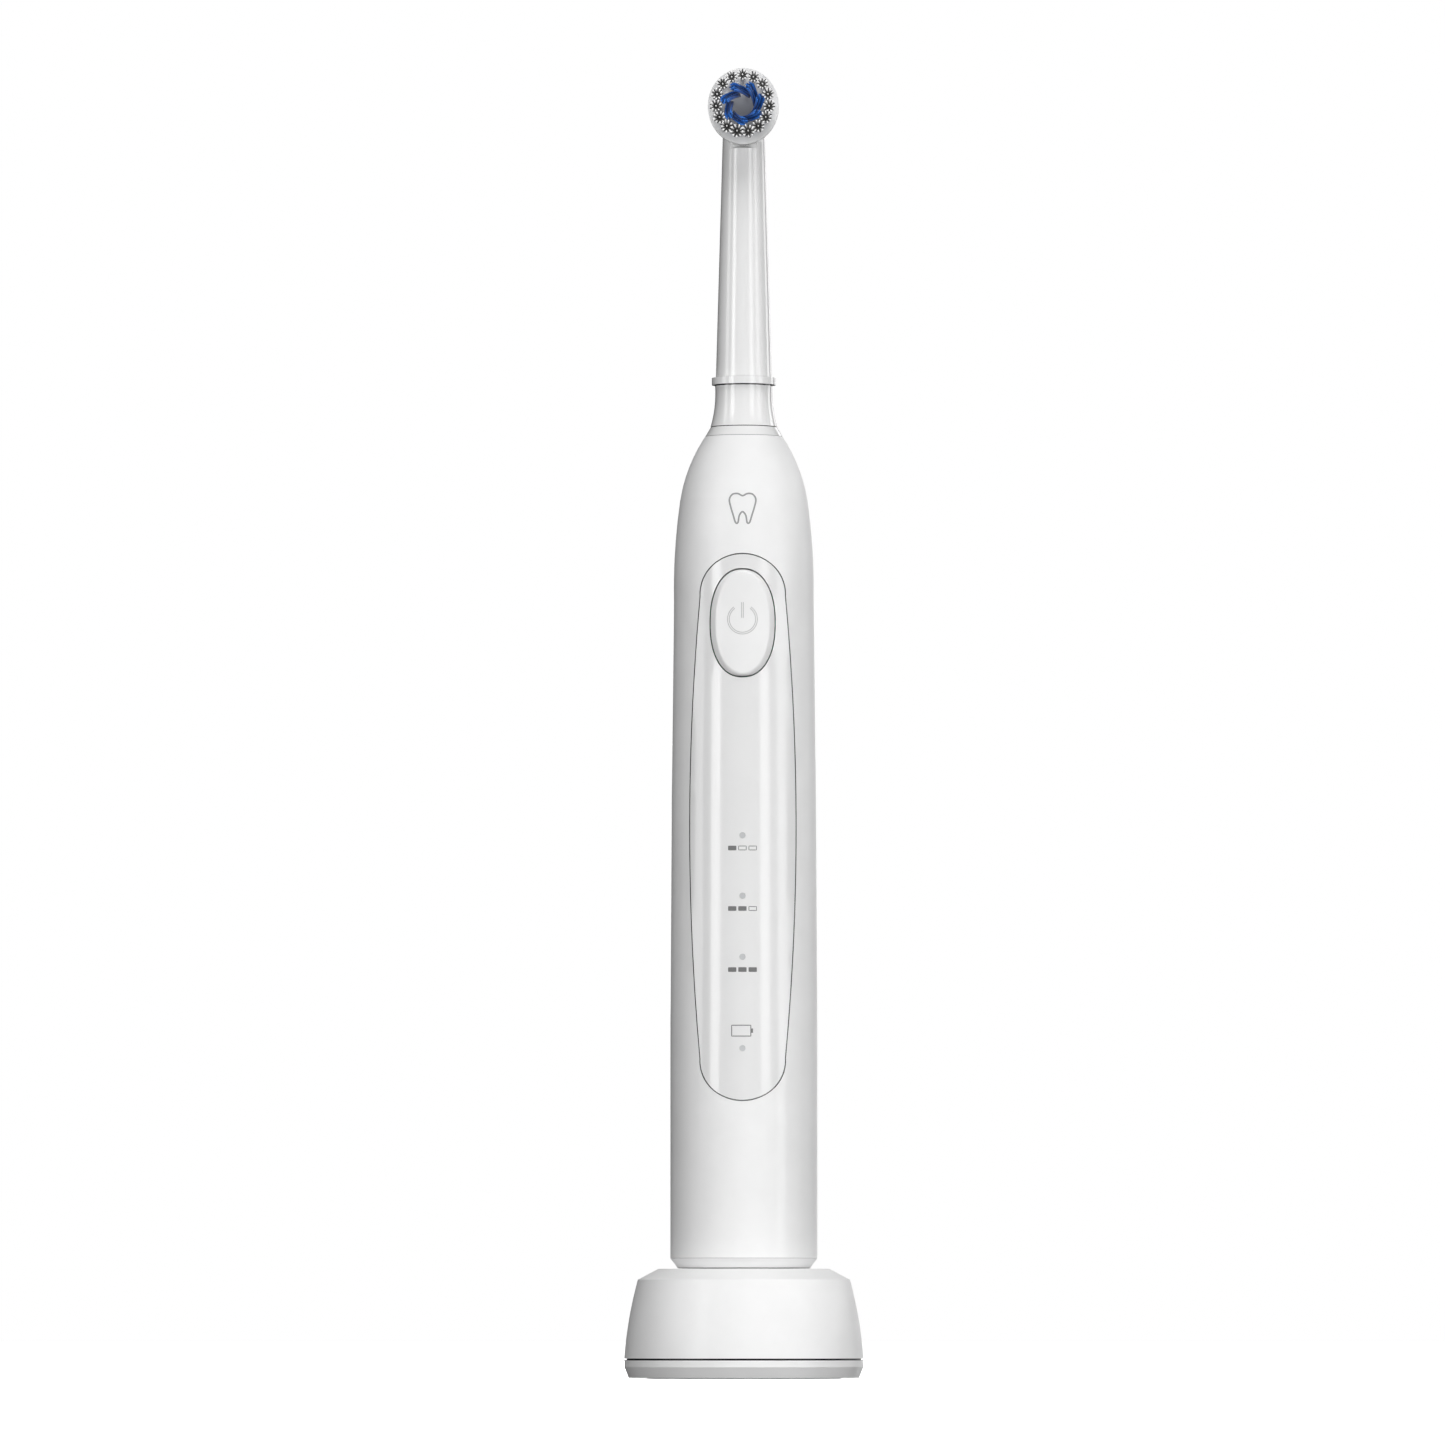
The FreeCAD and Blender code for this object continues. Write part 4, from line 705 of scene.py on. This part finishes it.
def make_level_marks(ink):
    """Under each of the upper three lights a row of three cells: one, two and three of them filled."""
    half_width = 0.7 * MM
    half_height = 0.36 * MM
    pitch = 1.9 * MM
    below_light = 2.35 * MM
    line = 0.14 * MM
    fill = 0.66 * MM
    points = []
    faces = []
    for level, height in enumerate(reversed(led_heights()[1:]), start=1):
        z = height - below_light
        for cell in range(3):
            x = (cell - 1) * pitch
            corners = [(x - half_width, z - half_height), (x + half_width, z - half_height),
                       (x + half_width, z + half_height), (x - half_width, z + half_height)]
            add_line(points, faces, corner_path(corners), line, panel_front, closed=True)
            if cell < level:
                bar = straight_path((x - half_width, z), (x + half_width, z))
                add_line(points, faces, bar, fill, panel_front)
    add_piece("level_marks", points, faces, ink, "handle", smooth=False)


def make_battery_mark(ink):
    """Battery outline over the lowest light: a case and its terminal."""
    left = -2.0 * MM
    right = 1.55 * MM
    foot = led_heights()[0] + 2.25 * MM
    top = foot + 2.0 * MM
    case_line = 0.17 * MM
    terminal_x = 1.8 * MM
    terminal_foot = foot + 0.6 * MM
    terminal_top = foot + 1.4 * MM
    terminal_line = 0.3 * MM
    points = []
    faces = []
    case = corner_path([(left, foot), (right, foot), (right, top), (left, top)])
    add_line(points, faces, case, case_line, panel_front, closed=True)
    terminal = straight_path((terminal_x, terminal_foot), (terminal_x, terminal_top))
    add_line(points, faces, terminal, terminal_line, panel_front)
    add_piece("battery_mark", points, faces, ink, "handle", smooth=False)


def make_tooth_mark(ink):
    """Plain tooth outline on the shoulder.

    Its right half is given in mm, from the dip in the top down to the notch between the roots.
    """
    centre_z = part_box("handle_shell")[1].z - 13.75 * MM
    line = 0.3 * MM
    half = [(0.0, 2.1), (0.9, 2.5), (1.9, 2.35), (2.45, 1.4), (2.2, 0.0), (1.75, -1.5), (1.3, -2.9),
            (0.85, -2.9), (0.6, -1.6), (0.0, -0.9)]
    outline = [Vector((x, z)) * MM for x, z in half]
    outline += [Vector((-place.x, place.y)) for place in reversed(outline[1:-1])]
    tooth = [(place.x, centre_z + place.y) for place in smooth_loop(outline)]
    points = []
    faces = []
    add_line(points, faces, tooth, line, panel_front, closed=True)
    add_piece("tooth_mark", points, faces, ink, "handle", smooth=False)


make_outer_tufts()
make_inner_tufts()
make_power_icon(make_power_button())
grey_ink = printing_ink("grey_ink", 0.2)
pale_ink = printing_ink("pale_ink", 0.33)
make_level_marks(grey_ink)
make_battery_mark(grey_ink)
make_tooth_mark(pale_ink)


# ---------------------------------------------------------------- camera, light and floor

def make_camera():
    """A long lens just right of the front, at the height of the stand and tipped up to take in the brush."""
    low, high = cad_bounds
    tall = high.z - low.z
    azimuth = math.radians(1.2)
    aim_x = -0.0163 * tall
    distance = 10.23 * tall
    height = 0.033 * tall
    upward = math.radians(2.616)
    data = bpy.data.cameras.new("camera")
    data.lens = 334
    data.sensor_width = 36
    data.clip_end = 50
    camera = bpy.data.objects.new("camera", data)
    camera.location = (aim_x * math.cos(azimuth) + distance * math.sin(azimuth),
                       aim_x * math.sin(azimuth) - distance * math.cos(azimuth),
                       height)
    camera.rotation_euler = (math.pi / 2 + upward, 0, azimuth)
    bpy.context.scene.collection.objects.link(camera)
    bpy.context.scene.camera = camera


def make_softbox(name, azimuth, height, distance, width, tall, power, in_gloss=True):
    """A rectangular lamp that faces the object's middle; azimuth 0 is in front, positive to the right."""
    middle = (cad_bounds[0] + cad_bounds[1]) / 2
    data = bpy.data.lights.new(name, "AREA")
    data.shape = "RECTANGLE"
    data.size = width
    data.size_y = tall
    data.energy = power
    lamp = bpy.data.objects.new(name, data)
    lamp.visible_glossy = in_gloss
    angle = math.radians(azimuth)
    lamp.location = middle + Vector((distance * math.sin(angle), -distance * math.cos(angle), height))
    lamp.rotation_euler = (middle - lamp.location).to_track_quat("-Z", "Y").to_euler()
    bpy.context.scene.collection.objects.link(lamp)


def make_world():
    """White behind the object, and a weaker even light on it."""
    world = bpy.data.worlds.new("studio")
    world.use_nodes = True
    tree = world.node_tree
    background = tree.nodes["Background"]
    background.inputs["Color"].default_value = (1, 1, 1, 1)
    seen = tree.nodes.new("ShaderNodeLightPath")
    strength = tree.nodes.new("ShaderNodeMapRange")
    strength.inputs["To Min"].default_value = 0.02
    strength.inputs["To Max"].default_value = 1.0
    tree.links.new(seen.outputs["Is Camera Ray"], strength.inputs["Value"])
    tree.links.new(strength.outputs["Result"], background.inputs["Strength"])
    bpy.context.scene.world = world


def make_floor():
    """A wide round white floor with a lamp of its own, so that it runs into the white behind it."""
    radius = 12
    below_foot = 0.05 * MM
    grid = bmesh.new()
    bmesh.ops.create_circle(grid, cap_ends=True, segments=64, radius=radius)
    mesh = bpy.data.meshes.new("floor")
    grid.to_mesh(mesh)
    grid.free()
    floor = bpy.data.objects.new("floor", mesh)
    floor.location.z = -below_foot
    floor.visible_diffuse = False
    floor.visible_glossy = False
    material, shader = start_material("floor_paper", (0.9, 0.9, 0.9), 0.9)
    vary_colour(material, shader, noise(material, 0.4), (0.89, 0.89, 0.89), (0.91, 0.91, 0.91))
    mesh.materials.append(material)
    bpy.context.scene.collection.objects.link(floor)
    lit_by_sky = bpy.data.collections.new("lit_by_sky_lamp")
    lit_by_sky.objects.link(floor)
    data = bpy.data.lights.new("sky_lamp", "SUN")
    data.energy = 4.4
    data.angle = math.radians(60)
    lamp = bpy.data.objects.new("sky_lamp", data)
    lamp.light_linking.receiver_collection = lit_by_sky
    bpy.context.scene.collection.objects.link(lamp)


make_camera()
make_world()
make_floor()

# lamps that fill without showing in the gloss: name, azimuth, height, distance, width, tall, power
for fill in (("front_light", 25, 0.0, 1.6, 1.0, 1.4, 2.6),
             ("top_light", 10, 1.1, 0.6, 0.8, 0.8, 8.9),
             ("low_front_light", 7, -0.1, 0.35, 0.2, 0.12, 0.475),
             ("back_fill", 180, 0.2, 1.6, 0.6, 1.2, 18.0)):
    make_softbox(*fill, in_gloss=False)

# upright strips whose bands show in the gloss: azimuth and power
for azimuth, power in ((-75, 3.4), (-45, 5.9), (35, 3.9), (65, 2.8), (125, 4.2), (158, 3.0)):
    make_softbox(f"strip_{azimuth}", azimuth, 0.0, 1.3, 0.35, 1.4, power)
bpy.context.scene.view_settings.view_transform = "Standard"
